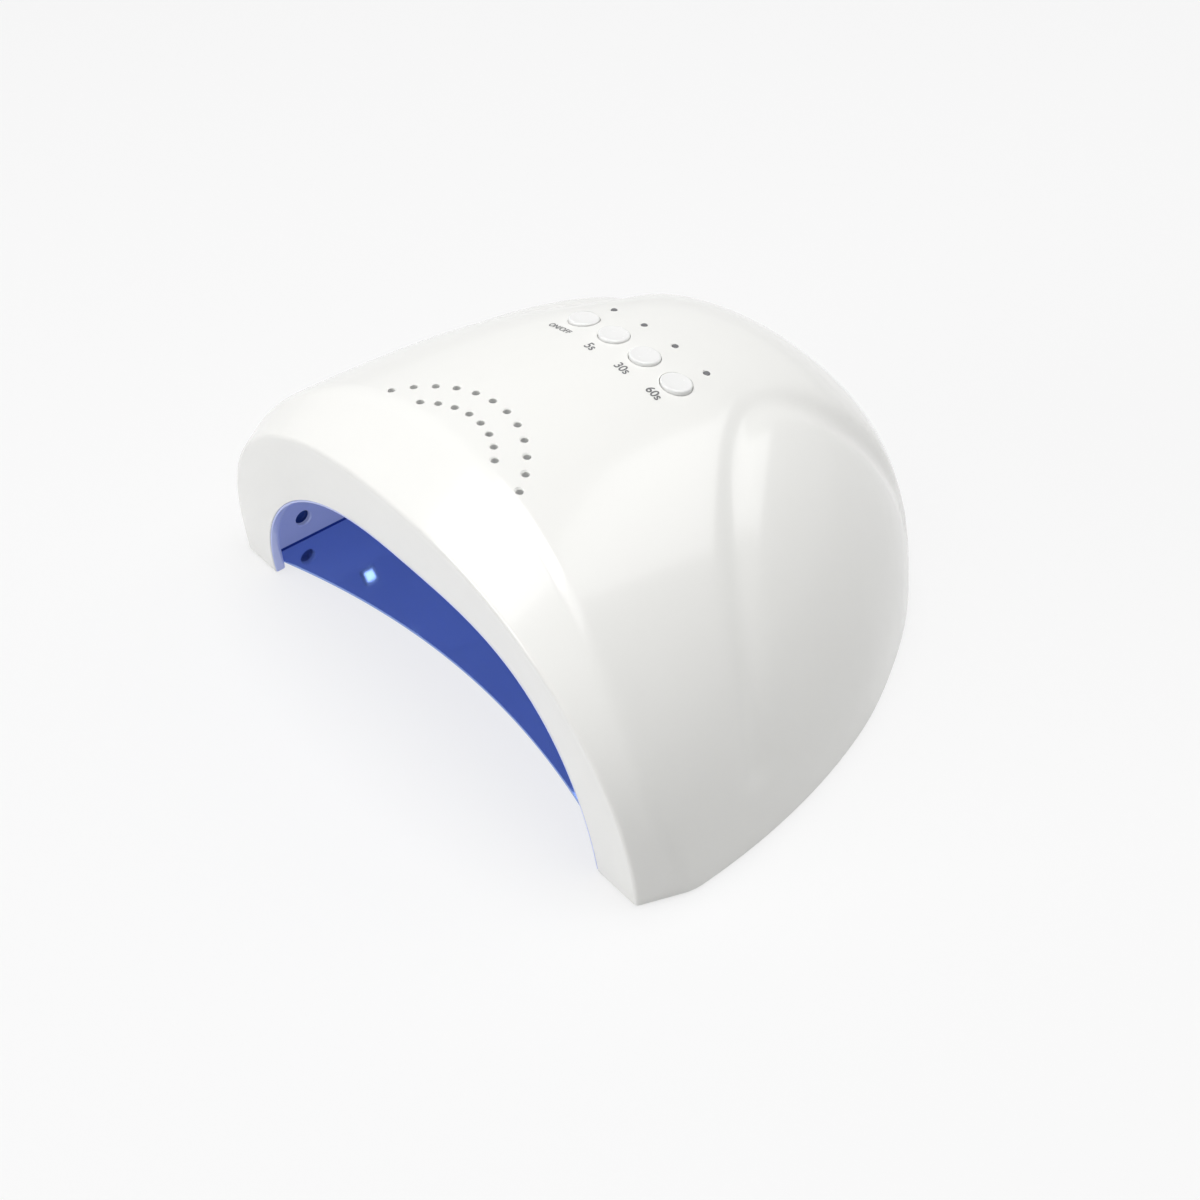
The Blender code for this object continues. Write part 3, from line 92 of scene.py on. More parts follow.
EDGE_ROUNDING = 0.0003
CREASE_ROUNDING = 0.0012
BEND_ROUNDING = 0.003
VALLEY_PLAN = (
    (0.09916, 0.04355), (0.07850, 0.05267), (0.03824, 0.07984), (0.03498, 0.10038),
    (0.03281, 0.11406), (0.04120, 0.12541), (0.04634, 0.16122),
)
FIT = 0.0003

ARCH_STEPS = 180
DOME_STEPS = 104
INNER_STEPS = 26


def smooth_step(share):
    """An eased rise from 0 to 1."""
    held = min(max(share, 0.0), 1.0)
    return held * held * (3 - 2 * held)


def seated(x, y, z):
    """A place measured from the front feet and the shell's lower edge, on the table."""
    return Vector((x, y + FRONT_FEET_Y, z + TABLE_GAP))


def arch(turn, half_width, height, side_power, top_power):
    """(x, z) on an arch from the right foot, turn 0, over the top to the left foot."""
    across, up = math.cos(turn), max(math.sin(turn), 0.0)
    x = math.copysign(half_width * abs(across) ** (2 / side_power), across)
    return x, height * up ** (2 / top_power)


def plan_half_width(y, inset=0.0):
    """Half the dome's width in plan, at a place along the spine."""
    fall = min(abs(y - WIDEST_Y) / (TAIL_Y - inset - WIDEST_Y), 1.0)
    return (CREST_HALF_WIDTH - inset) * (1 - fall ** PLAN_POWERS[0]) ** (1 / PLAN_POWERS[1])


def crown_height(y, inset=0.0):
    """The height of the dome's crown line, at a place along the spine."""
    fall = min(max(y - FLAT_CROWN_Y, 0.0) / (TAIL_Y - inset - FLAT_CROWN_Y), 1.0)
    return (CROWN_HEIGHT - inset) * (1 - fall ** CROWN_POWERS[0]) ** (1 / CROWN_POWERS[1])


def section_power(y):
    """How square the dome's section is: it grows towards the tail."""
    return 2.06 + 0.24 * (max(y - 0.06, 0.0) / (TAIL_Y - 0.06)) ** 2


def dome_height(x, y, inset=0.0):
    power = section_power(y)
    share = min(abs(x) / plan_half_width(y, inset), 1.0)
    return crown_height(y, inset) * (1 - share**power) ** (1 / power)


def dome_point(back, turn, inset=0.0):
    """A point of the plain dome: back runs from the soft crease, 0, to the tail, 1."""
    ease = math.sin(back * math.pi / 2)
    y = BAND_TOP_Y + (TAIL_Y - inset - BAND_TOP_Y) * ease
    power = section_power(y)
    x, z = arch(turn, plan_half_width(y, inset), crown_height(y, inset), power, power)
    rise = math.sin(turn)
    lead = BAND_FOOT_LEAD * (1 - rise) - BAND_BOW * 4 * rise * (1 - rise)
    return Vector((x, y + lead * (1 - ease), z))


def bezier(points, share):
    """A point on the curve that a chain of points pulls on."""
    layer = [Vector(p) for p in points]
    while len(layer) > 1:
        layer = [a.lerp(b, share) for a, b in zip(layer, layer[1:])]
    return layer[0]


valley_plan = [bezier(VALLEY_PLAN[:4], i / 150) for i in range(150)]
valley_plan += [bezier(VALLEY_PLAN[3:], i / 150) for i in range(151)]
valley = KDTree(len(valley_plan))
for number, spot in enumerate(valley_plan):
    valley.insert((spot.x, spot.y, dome_height(spot.x, spot.y)), number)
valley.balance()


def valley_x(y):
    """How far out the valley runs at a place along the spine."""
    for a, b in zip(valley_plan, valley_plan[1:]):
        if a.y <= y <= b.y:
            return a.x + (b.x - a.x) * (y - a.y) / max(b.y - a.y, 0.00001)
    return valley_plan[-1].x if y > valley_plan[-1].y else valley_plan[0].x


def valley_shift(point):
    """How far the finished skin stands off the plain dome."""
    here = Vector((abs(point.x), point.y, point.z))
    groove = GROOVE_DEPTH * math.exp(-((valley.find(here)[2] / GROOVE_SPREAD) ** 2))
    along = smooth_step((point.y / TAIL_Y - 0.52) / 0.18)
    if not along:
        return -groove
    lobe = smooth_step((here.x - valley_x(point.y)) / 0.009 + 0.5)
    spine = SPINE_RISE * smooth_step((point.z / CROWN_HEIGHT - 0.18) / 0.42)
    return along * (spine * (1 - lobe) - LOBE_SINK * lobe) - groove


def dome_skin(back, turn):
    """A point of the finished skin, moved off the plain dome along its normal."""
    here = dome_point(back, turn)
    if back > 0.998:
        return here
    along = dome_point(back + 0.002, turn) - dome_point(max(back - 0.002, 0.0), turn)
    near, far = max(turn - 0.002, 0.0), min(turn + 0.002, math.pi)
    outward = along.cross(dome_point(back, far) - dome_point(back, near)).normalized()
    if turn in (0.0, math.pi):
        outward.z = 0
    return here + outward * (valley_shift(here) * smooth_step(back / 0.08))


def face_point(turn, inset=0.0):
    """A point of the sharp crease round the front face."""
    x, z = arch(turn, FACE_HALF_WIDTH - inset, FACE_HEIGHT - inset, FACE_POWER, FACE_POWER)
    lean = 1 - (1 - math.sin(turn)) ** 1.75
    return Vector((x, inset - FACE_OVERHANG * lean, z))


def mouth_point(turn, shrink=0.0, set_back=0.0):
    """A point of the mouth's edge, or of an arch that follows it inside."""
    x, z = arch(turn, MOUTH_HALF_WIDTH - shrink, MOUTH_HEIGHT - shrink, *MOUTH_POWERS)
    rise = math.sin(turn)
    return Vector((x, set_back - MOUTH_DISH * rise * (1 - rise) - MOUTH_SET_BACK * rise, z))


def rounded(before, corner, after, steps):
    """The curve that rounds a corner, from the point before it to the point after."""
    return [bezier((before, corner, after), i / steps) for i in range(steps + 1)]


def between(a, b, steps):
    return [a.lerp(b, i / steps) for i in range(1, steps)]


def shell_profile(turn):
    """One run over the shell: in past the mouth's edge, over the face and dome, and back."""
    mouth, face, crease = mouth_point(turn), face_point(turn), dome_skin(0, turn)
    lip = mouth + Vector((0, SHELL_WALL, 0))
    to_face, to_crease = (face - mouth).normalized(), (crease - face).normalized()
    start = 0.012
    edge = rounded(mouth.lerp(lip, 0.1), mouth, mouth + to_face * EDGE_ROUNDING, 4)
    fold = rounded(
        face - to_face * CREASE_ROUNDING, face, face + to_crease * CREASE_ROUNDING, 8
    )
    bend = rounded(crease - to_crease * BEND_ROUNDING, crease, dome_skin(start, turn), 10)
    run = [lip, *edge, *between(edge[-1], fold[0], 9), *fold]
    run += [*between(fold[-1], bend[0], 6), *bend]
    for i in range(1, DOME_STEPS + 1):
        run.append(dome_skin(start + (1 - start) * i / DOME_STEPS, turn))
    for i in range(INNER_STEPS, -1, -1):
        run.append(dome_point(i / INNER_STEPS, turn, SHELL_WALL))
    return [*run, face_point(turn, SHELL_WALL), lip]


def deselect():
    bpy.ops.object.select_all(action="DESELECT")


def lofted(name, runs):
    """A skin drawn through runs of points: a plane grid, each vertex put on its run."""
    deselect()
    columns, rows = len(runs) - 1, len(runs[0]) - 1
    bpy.ops.mesh.primitive_grid_add(x_subdivisions=columns, y_subdivisions=rows, size=2)
    piece = bpy.context.object
    piece.name = piece.data.name = name
    for vertex in piece.data.vertices:
        column = round((vertex.co.x + 1) / 2 * columns)
        row = round((vertex.co.y + 1) / 2 * rows)
        vertex.co = seated(*runs[column][row])
    bpy.ops.object.mode_set(mode="EDIT")
    bpy.ops.mesh.select_all(action="SELECT")
    bpy.ops.mesh.remove_doubles(threshold=0.000005)
    bpy.ops.object.mode_set(mode="OBJECT")
    return piece


def select_open_edges():
    bpy.ops.mesh.select_all(action="DESELECT")
    bpy.ops.mesh.select_mode(type="EDGE")
    bpy.ops.mesh.select_non_manifold(
        extend=False, use_wire=False, use_boundary=True,
        use_multi_face=False, use_non_contiguous=False, use_verts=False,
    )


def closed(piece):
    """Fills what is open, then turns all faces outwards."""
    bpy.context.view_layer.objects.active = piece
    bpy.ops.object.mode_set(mode="EDIT")
    select_open_edges()
    bpy.ops.mesh.edge_face_add()
    bpy.ops.mesh.select_all(action="SELECT")
    bpy.ops.mesh.normals_make_consistent(inside=False)
    bpy.ops.object.mode_set(mode="OBJECT")
    return piece


def turned(name, rings, sides=32, outward=(0, 0, 1), place=(0, 0, 0)):
    """A round piece: a disc drawn out through rings of (radius, height)."""
    deselect()
    radius, height = rings[0]
    bpy.ops.mesh.primitive_circle_add(
        vertices=sides, radius=radius, fill_type="NGON", location=(0, 0, height)
    )
    piece = bpy.context.object
    piece.name = piece.data.name = name
    bpy.ops.object.transform_apply(location=True)
    bpy.ops.object.mode_set(mode="EDIT")
    bpy.ops.mesh.select_all(action="SELECT")
    for next_radius, next_height in rings[1:]:
        bpy.ops.mesh.extrude_region_move(
            TRANSFORM_OT_translate={"value": (0, 0, next_height - height)}
        )
        share = next_radius / radius
        bpy.ops.transform.resize(
            value=(share, share, 1), center_override=(0, 0, next_height)
        )
        radius, height = next_radius, next_height
    bpy.ops.mesh.select_all(action="SELECT")
    bpy.ops.mesh.normals_make_consistent(inside=False)
    bpy.ops.object.mode_set(mode="OBJECT")
    turn = Vector((0, 0, 1)).rotation_difference(Vector(outward)).to_matrix().to_4x4()
    piece.data.transform(Matrix.Translation(seated(*place)) @ turn)
    return piece


def joined(pieces):
    deselect()
    for piece in pieces:
        piece.select_set(True)
    bpy.context.view_layer.objects.active = pieces[0]
    if len(pieces) > 1:
        bpy.ops.object.join()
    return pieces[0]


def cut(piece, cutters):
    """Takes the cutters out of a piece with one exact Boolean."""
    tool = joined(cutters)
    deselect()
    bpy.context.view_layer.objects.active = piece
    change = piece.modifiers.new("cut", "BOOLEAN")
    change.operation, change.solver, change.object = "DIFFERENCE", "EXACT", tool
    bpy.ops.object.modifier_apply(modifier="cut")
    bpy.data.objects.remove(tool)


def smoothed(piece, degrees=32):
    deselect()
    piece.select_set(True)
    bpy.context.view_layer.objects.active = piece
    bpy.ops.object.shade_smooth_by_angle(angle=math.radians(degrees))
    return piece


VENT_ARCS = ((0.0343, 12, 58.5), (0.0256, 8, 41.5))
VENT_CENTRE_Y = -0.0013


def vent_places():
    """The middle of each vent: arcs of a radius, a count and a reach to each side."""
    for radius, count, reach in VENT_ARCS:
        for i in range(count):
            angle = math.radians(reach * (2 * i / (count - 1) - 1))
            yield radius * math.sin(angle), radius * math.cos(angle) + VENT_CENTRE_Y


KEY_NAMES = ("power", "5s", "30s", "60s")
KEY_PITCH = 0.0137
KEY_ROW_Y = 0.080
INDICATOR_ROW_Y = KEY_ROW_Y + 0.0116
KEY_PLACES = [((i - 1.5) * KEY_PITCH, KEY_ROW_Y) for i in range(4)]
INDICATOR_PLACES = [(x, INDICATOR_ROW_Y) for x, _ in KEY_PLACES]
INLET_Y = 0.1726
INLET_Z = 0.016
VENT_RADIUS = 0.0011
KEY_HOLE_RADIUS = 0.00486
INDICATOR_HOLE_RADIUS = 0.00108
INLET_HOLE_RADIUS = 0.00745


def hole_cutter(place, radius, chamfer, sides):
    """A bar through the crown that flares where it meets the skin."""
    level = dome_height(*place)
    flare = radius + 2 * chamfer
    rings = ((radius, level - 0.012), (radius, level - chamfer), (flare, level + chamfer))
    rings += ((flare, level + 0.006),)
    return turned("cutter", rings, sides, place=(*place, 0))


turns = [math.pi * i / ARCH_STEPS for i in range(ARCH_STEPS + 1)]
shell = closed(lofted("shell", [shell_profile(t) for t in turns]))
cutters = [hole_cutter(p, VENT_RADIUS, 0.0002, 24) for p in vent_places()]
cutters += [hole_cutter(p, KEY_HOLE_RADIUS, 0.00008, 64) for p in KEY_PLACES]
cutters += [hole_cutter(p, INDICATOR_HOLE_RADIUS, 0.00006, 32) for p in INDICATOR_PLACES]
rings = ((INLET_HOLE_RADIUS, -0.006), (INLET_HOLE_RADIUS, 0.012))
cutters.append(turned("cutter", rings, 64, (0, 1, 0), (0, INLET_Y, INLET_Z)))
cut(shell, cutters)
smoothed(shell)


class Signal:
    """An output socket in a tree of nodes. Arithmetic on it adds Math nodes."""

    def __init__(self, tree, socket):
        self.tree, self.socket = tree, socket

    def maths(self, operation, first, second):
        settings = {"operation": operation}
        return self.tree.node("ShaderNodeMath", settings, {0: first, 1: second})

    def __add__(self, other):
        return self.maths("ADD", self, other)

    def __radd__(self, other):
        return self.maths("ADD", other, self)

    def __sub__(self, other):
        return self.maths("SUBTRACT", self, other)

    def __rsub__(self, other):
        return self.maths("SUBTRACT", other, self)

    def __mul__(self, other):
        return self.maths("MULTIPLY", self, other)

    def __rmul__(self, other):
        return self.maths("MULTIPLY", other, self)


class NodeTree:
    """The nodes of a surface or of the room."""

    def __init__(self, owner):
        owner.use_nodes = True
        self.nodes, self.links = owner.node_tree.nodes, owner.node_tree.links

    def node(self, kind, settings=None, inputs=None, output=0):
        """Adds a node, sets it up, feeds its sockets and gives one of its outputs."""
        made = self.nodes.new(kind)
        for name, value in (settings or {}).items():
            setattr(made, name, value)
        for socket, value in (inputs or {}).items():
            self.feed(made.inputs[socket], value)
        return Signal(self, made.outputs[output])

    def feed(self, socket, value):
        if isinstance(value, Signal):
            self.links.new(value.socket, socket)
        else:
            socket.default_value = value


class Finish(NodeTree):
    """The surface of a piece, built round one Principled shader."""

    def __init__(self, name, **constants):
        self.material = bpy.data.materials.new(name)
        super().__init__(self.material)
        self.shader = self.nodes["Principled BSDF"]
        self.place = self.node("ShaderNodeTexCoord", output="Object")
        for socket, value in constants.items():
            self.feed(self.shader.inputs[socket.replace("_", " ")], value)

    def noise(self, size, detail=2.0, stretch=(1, 1, 1)):
        """Soft cloudy variation whose patches are about size metres across."""
        spread = self.node("ShaderNodeMapping", None, {"Vector": self.place, "Scale": stretch})
        inputs = {"Vector": spread, "Scale": 1 / size, "Detail": detail}
        return self.node("ShaderNodeTexNoise", None, inputs)

    def blended(self, share, first, second):
        """A mix of two colours. A Mix node's colours are its inputs 6 and 7, output 2."""
        inputs = {0: share, 6: (*first, 1.0), 7: (*second, 1.0)}
        return self.node("ShaderNodeMix", {"data_type": "RGBA"}, inputs, 2)

    def coloured(self, share, first, second):
        self.feed(self.shader.inputs["Base Color"], self.blended(share, first, second))

    def glowing(self, share, first, second):
        self.feed(self.shader.inputs["Emission Color"], self.blended(share, first, second))

    def rough(self, value):
        self.feed(self.shader.inputs["Roughness"], value)

    def bumped(self, height, depth):
        inputs = {"Height": height, "Distance": depth, "Strength": 1.0}
        self.feed(self.shader.inputs["Normal"], self.node("ShaderNodeBump", None, inputs))


def dress(pieces, finish, body="lamp_body"):
    """Gives pieces their finish and fastens them to the body that they move with."""
    for piece in pieces:
        piece.data.materials.clear()
        piece.data.materials.append(finish.material)
        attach(piece, body)


def dress_nodes(names, finish):
    """Gives nodes that show as they are their finish."""
    for name in names:
        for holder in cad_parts[name].material_slots:
            holder.material = finish.material


gloss_white = Finish("gloss white", Coat_Weight=0.35, Coat_Roughness=0.04)
gloss_white.coloured(gloss_white.noise(0.09), (0.874, 0.872, 0.846), (0.894, 0.892, 0.866))
gloss_white.rough(0.17 + 0.05 * gloss_white.noise(0.018, 3.0))
gloss_white.bumped(gloss_white.noise(0.006, 1.0), 0.000012)
dress([shell], gloss_white)
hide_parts("top_shell")

# ---- Timer keys
# Four round keys are moulded in white ABS, each with a flange that holds it under the
# shell and a stem that presses a switch. The top is a shallow dish within a round edge.
KEY_RADIUS = 0.00472
KEY_FLANGE_RADIUS = 0.0056
KEY_STEM_RADIUS = 0.0016
KEY_EDGE_RADIUS = 0.0005
KEY_EDGE_PROUD = 0.00085
KEY_FLANGE_THICKNESS = 0.001
KEY_FLANGE_GAP = 0.0009
KEY_DISH = 0.0002
KEY_DISH_RINGS = ((0.83, 0.0), (0.76, 0.4), (0.5, 0.75), (0.25, 0.95), (0.06, 1.0))
KEY_TOP_LEAN = 0.055

key_white = Finish("key white", Coat_Weight=0.2, Coat_Roughness=0.06)
key_white.coloured(key_white.noise(0.004), (0.868, 0.868, 0.858), (0.888, 0.888, 0.880))
key_white.rough(0.22 + 0.08 * key_white.noise(0.0012, 3.0))
key_white.bumped(key_white.noise(0.0006), 0.000003)

circle = [2 * math.pi * i / 12 for i in range(12)]
for key_name, (x, y) in zip(KEY_NAMES, KEY_PLACES):
    level = dome_height(x, y)
    under = [dome_height(x + KEY_FLANGE_RADIUS * math.cos(a),
                         y + KEY_FLANGE_RADIUS * math.sin(a), SHELL_WALL) for a in circle]
    flange_top = min(under) - KEY_FLANGE_GAP
    flange_low = flange_top - KEY_FLANGE_THICKNESS
    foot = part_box(key_name + "_key")[0][2] - TABLE_GAP
    edge = level + KEY_EDGE_PROUD
    rings = [(KEY_STEM_RADIUS, foot), (KEY_STEM_RADIUS, flange_low)]
    rings += [(KEY_FLANGE_RADIUS, flange_low), (KEY_FLANGE_RADIUS, flange_top)]
    rings += [(KEY_RADIUS, flange_top), (KEY_RADIUS, level - 0.0002)]
    for i in range(6):
        angle = math.radians(18 * i)
        rings.append((KEY_RADIUS - KEY_EDGE_RADIUS * (1 - math.cos(angle)),
                      edge - KEY_EDGE_RADIUS * (1 - math.sin(angle))))
    for share, sunk in KEY_DISH_RINGS:
        rings.append((KEY_RADIUS * share, edge - KEY_DISH * sunk))
    key = turned(f"{key_name}_key_cap", rings, 64, place=(x, y, 0))
    for vertex in key.data.vertices:
        if vertex.co.z - TABLE_GAP > level - 0.0001:  # the top leans with the crown
            back = vertex.co.y - FRONT_FEET_Y
            lean = (dome_height(vertex.co.x, y) - level) * 0.5
            vertex.co.z += lean + dome_height(x, back) - level - (back - y) * KEY_TOP_LEAN
    dress([smoothed(key, 40)], key_white, f"{key_name}_key_body")
    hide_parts(f"{key_name}_key")

# ---- Indicator light pipe
# The four dots behind the keys are the ends of one smoked clear moulding. Its pipes hang
# from a bar and carry the light of four small LEDs on the control board.
PIPE_RADIUS = 0.001
PIPE_FOOT_RADIUS = 0.0009
PIPE_FOOT_HEIGHT = 0.006
BAR_THICKNESS = 0.0016
BAR_RISE = 0.0052
bar_low, bar_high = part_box("light_pipe")
pipe_low = bar_low[2] - TABLE_GAP
pieces = []
for x, y in INDICATOR_PLACES:
    level = dome_height(x, y)
    rings = [(0.00085, pipe_low + 0.001), (PIPE_RADIUS, pipe_low + 0.0015)]
    rings += [(PIPE_RADIUS, level - 0.00015), (0.00092, level - 0.00002)]
    rings += [(0.0007, level + 0.00006), (0.0003, level + 0.0001)]
    pieces.append(turned("pipe", rings, 32, place=(x, y, 0)))
for x in (-KEY_PITCH, KEY_PITCH):
    rings = [(PIPE_FOOT_RADIUS, pipe_low), (PIPE_FOOT_RADIUS, pipe_low + PIPE_FOOT_HEIGHT)]
    pieces.append(turned("foot", rings, 24, place=(x, INDICATOR_ROW_Y, 0)))


def block(name, size, centre, edge=0.0):
    """A squared piece: a cube at its size and place, its edges bevelled."""
    deselect()
    bpy.ops.mesh.primitive_cube_add(size=1, location=centre)
    piece = bpy.context.object
    piece.name = piece.data.name = name
    piece.scale = size
    bpy.ops.object.transform_apply(location=True, scale=True)
    if edge:
        bpy.ops.object.mode_set(mode="EDIT")
        bpy.ops.mesh.select_all(action="SELECT")
        bpy.ops.mesh.bevel(offset=edge, segments=2, affect="EDGES")
        bpy.ops.object.mode_set(mode="OBJECT")
    return piece


bar_level = bar_low[2] + BAR_RISE
bar_centre = ((bar_low[0] + bar_high[0]) / 2, (bar_low[1] + bar_high[1]) / 2, bar_level)
bar_size = (bar_high[0] - bar_low[0], bar_high[1] - bar_low[1], BAR_THICKNESS)
pieces.append(block("bar", bar_size, bar_centre, 0.0003))
pipe = smoothed(joined(pieces), 40)
pipe.name = pipe.data.name = "indicator_lenses"
smoked_clear = Finish("smoked clear", Coat_Weight=0.5, IOR=1.49)
smoked_clear.coloured(smoked_clear.noise(0.0008), (0.10, 0.10, 0.108), (0.15, 0.15, 0.16))
smoked_clear.rough(0.18 + 0.1 * smoked_clear.noise(0.0005))
dress([pipe], smoked_clear)
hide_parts("light_pipe")

# ---- Printed key labels
# The switch word and the times are pad-printed in grey ink in front of the keys. The film
# of ink is thin and follows the crown.
LABELS = (
    ("ON/OFF", -0.0211, 0.0714, 0.0092), ("5s", -0.0062, 0.0707, 0.0033),
    ("30s", 0.0076, 0.0710, 0.0050), ("60s", 0.0205, 0.0717, 0.0050),
)
LETTER_WEIGHT = 0.018
LETTER_STRETCH = 1.12
INK_FILM = 0.00003

grey_ink = Finish("grey ink", Specular_IOR_Level=0.35)
grey_ink.coloured(grey_ink.noise(0.0006, 3.0), (0.13, 0.13, 0.135), (0.21, 0.21, 0.215))
grey_ink.rough(0.42 + 0.12 * grey_ink.noise(0.0004))

for words, x, y, width in LABELS:
    deselect()
    bpy.ops.object.text_add()
    label = bpy.context.object
    label.data.body = words
    label.data.align_x, label.data.align_y = "CENTER", "CENTER"
    label.data.offset = LETTER_WEIGHT
    bpy.ops.object.convert(target="MESH")
    label = bpy.context.object
    label.name = label.data.name = "label_" + words.replace("/", "_").lower()
    across = [vertex.co.x for vertex in label.data.vertices]
    up = [vertex.co.y for vertex in label.data.vertices]
    middle = ((min(across) + max(across)) / 2, (min(up) + max(up)) / 2)
    scale = width / (max(across) - min(across))
    for vertex in label.data.vertices:
        there_x = x + (vertex.co.x - middle[0]) * scale
        there_y = y + (vertex.co.y - middle[1]) * scale * LETTER_STRETCH
        vertex.co = seated(there_x, there_y, dome_height(there_x, there_y) + INK_FILM)
    dress([label], grey_ink)

# ---- Reflector
# A blue metallised tray of flat facets lines the hand space behind a thin lip that stands
# in the mouth. It is moulded in one piece, 1.5 mm thick, with a square window for each LED.
LINER_WALL = 0.0015
LINER_FOOT = 0.0038
LINER_HALF_WIDTH = 0.088
LINER_CORNERS = ((LINER_HALF_WIDTH, 0.026), (0.062, 0.057), (0.030, 0.060))
LINER_BEND = 0.0012
LINER_REAR_BEND = 0.0016
LINER_FACET_TURNS = (0.0, 28.1, 56.2, 73.1, 90.0)
LINER_STATIONS = ((0.0049, 1, 1), (0.050, 1, 1), (0.112, 0.75, 1), (0.144, 0.4545, 0.23333))
LIP_WALL = 0.0006
LIP_GAP = 0.0001
LIP_FOOT = 0.0004
SKIRT_WALL = 0.00035
SKIRT_FOOT = 0.0022


def tub_corners(width_share, height_share, grow):
    """Right half of the reflector's section, from the floor to the middle of the roof."""
    foot = LINER_FOOT if grow else SKIRT_FOOT
    side, slope, roof = [(x * width_share, z * height_share) for x, z in LINER_CORNERS]
    return [
        Vector((side[0] + (grow or -SKIRT_WALL), foot)),
        Vector((side[0] + grow, side[1] + grow / 2)),
        Vector((slope[0] + grow / 2, slope[1] + grow)),
        Vector((roof[0], roof[1] + grow)),
        Vector((0.0, roof[1] + grow)),
    ]


def bent(points, radii, steps):
    """A run through points whose inner corners are rounded, with its share per stretch."""
    run = [(0.0, points[0])]
    for i in range(1, len(points)):
        before, here = points[i - 1], points[i]
        length = max((here - before).length, 1e-9)
        last = i == len(points) - 1
        ending = 0.0 if last else min(radii[i] / length, 0.45)
        begun = run[-1][0] - (i - 1)
        for k in range(1, steps[i - 1] + 1):
            share = begun + (1 - ending - begun) * k / steps[i - 1]
            run.append((i - 1 + share, before.lerp(here, share)))
        if not last:
            after = points[i + 1]
            onward = min(radii[i] / max((after - here).length, 1e-9), 0.45)
            out = here.lerp(after, onward)
            entry = run[-1][1]
            for k in range(1, 5):
                share = k / 4
                place = i - ending + (ending + onward) * share
                run.append((place, bezier((entry, here, out), share)))
    return run


def tub_arch(y, width_share, height_share, grow):
    """A section of the tray as (turn, point) from the right foot over to the left foot."""
    corners = tub_corners(width_share, height_share, grow)
    half = bent(corners, (0, LINER_BEND, LINER_BEND, LINER_BEND, 0), (8, 8, 6, 6))
    arch_points = []
    for place, spot in half:
        low = min(int(place), 3)
        a, b = LINER_FACET_TURNS[low], LINER_FACET_TURNS[low + 1]
        turn = math.radians(a + (b - a) * (place - low))
        arch_points.append((turn, Vector((spot.x, y, spot.y))))
    left = [(math.pi - t, Vector((-p.x, p.y, p.z))) for t, p in reversed(arch_points[:-1])]
    return arch_points + left


def tray_runs(grow, shrink):
    """Runs from the lip's front edge, through the tray, to the foot of the rear wall."""
    sections = []
    for number, (y, width_share, height_share) in enumerate(LINER_STATIONS):
        back = grow if number == 3 else (-grow if number == 0 else 0.0)
        sections.append(tub_arch(y + back, width_share, height_share, grow))
    behind = SHELL_WALL + FIT + (0.0 if grow else 0.0004)
    radii = (0, LINER_BEND, LINER_BEND, LINER_REAR_BEND, LINER_REAR_BEND, 0)
    rear = LINER_STATIONS[3][0] + (grow or -SKIRT_WALL)
    runs = []
    for k, (turn, _) in enumerate(sections[0]):
        nose = mouth_point(turn, LIP_GAP + LIP_WALL / 2, 0.0001)
        front = mouth_point(turn, shrink, 0.0003)
        run = [nose, nose.lerp(front, 0.7) - Vector((0, 0.00006, 0))]
        path = [front, mouth_point(turn, shrink, behind)]
        path += [section[k][1] for section in sections]
        run += [spot for _, spot in bent(path, radii, (3, 2, 8, 10, 8))]
        run.append(Vector((0, rear, sections[3][0][1].z)))
        runs.append([Vector((spot.x, spot.y, max(spot.z, LIP_FOOT))) for spot in run])
    return runs


def skirt_runs(foot):
    """Two runs that close the skirt: one along its foot, one where it meets the wall."""
    side = 1 if foot[0].x > 0 else -1
    low = [foot[0], *[spot + Vector((side * SKIRT_WALL, 0, 0)) for spot in foot[1:-1]]]
    low.append(foot[-1] + Vector((0, SKIRT_WALL, 0)))
    return low, [Vector((p.x, p.y, max(p.z, LINER_FOOT))) if p.y > 0.004 else p for p in low]


inner, outer = tray_runs(0.0, LIP_GAP + LIP_WALL), tray_runs(LINER_WALL, LIP_GAP)
for within, around in zip(inner, outer):
    around[0] = within[0]
right_low, right_high = skirt_runs(inner[0])
left_low, left_high = skirt_runs(inner[-1])
runs = [*inner, left_low, left_high, *reversed(outer), right_high, right_low, inner[0]]
reflector = closed(lofted("reflector_tray", runs))


def facet(segment, strip, side):
    """Inner corners of one facet: near low, near high, far high, far low."""
    corners = []
    for number, index in ((segment, strip), (segment, strip + 1), (segment + 1, strip + 1),
                          (segment + 1, strip)):
        y, width_share, height_share = LINER_STATIONS[number]
        spot = tub_corners(width_share, height_share, 0)[index]
        corners.append(Vector((side * spot.x, y, spot.y)))
    if strip == 3:
        corners[1] = Vector((-corners[0].x, corners[0].y, corners[0].z))
        corners[2] = Vector((-corners[3].x, corners[3].y, corners[3].z))
    return corners


def frame_at(centre, along, outward):
    """A matrix that carries a piece built upright to its place behind a facet."""
    side = outward.cross(along)
    turn = Matrix((along, side, outward)).transposed().to_4x4()
    return Matrix.Translation(seated(*centre)) @ turn


# Each row: the facets, as segment, strip and side, then the shares back and up at which
# their LEDs stand.
LED_FACETS = (
    (((0, 1, 1), (0, 1, -1)), (0.72,), (0.1,)),
    (((1, 0, 1), (1, 0, -1)), (0.3, 0.75), (0.7,)),
    (((0, 1, 1), (0, 1, -1)), (0.3, 0.8), (0.75,)),
    (((1, 1, 1), (1, 1, -1)), (0.3, 0.75), (0.5,)),
    (((0, 3, 1), (1, 3, 1)), (0.35, 0.85), (0.22, 0.78)),
    (((2, 3, 1),), (0.3, 0.68), (0.1, 0.9)),
)


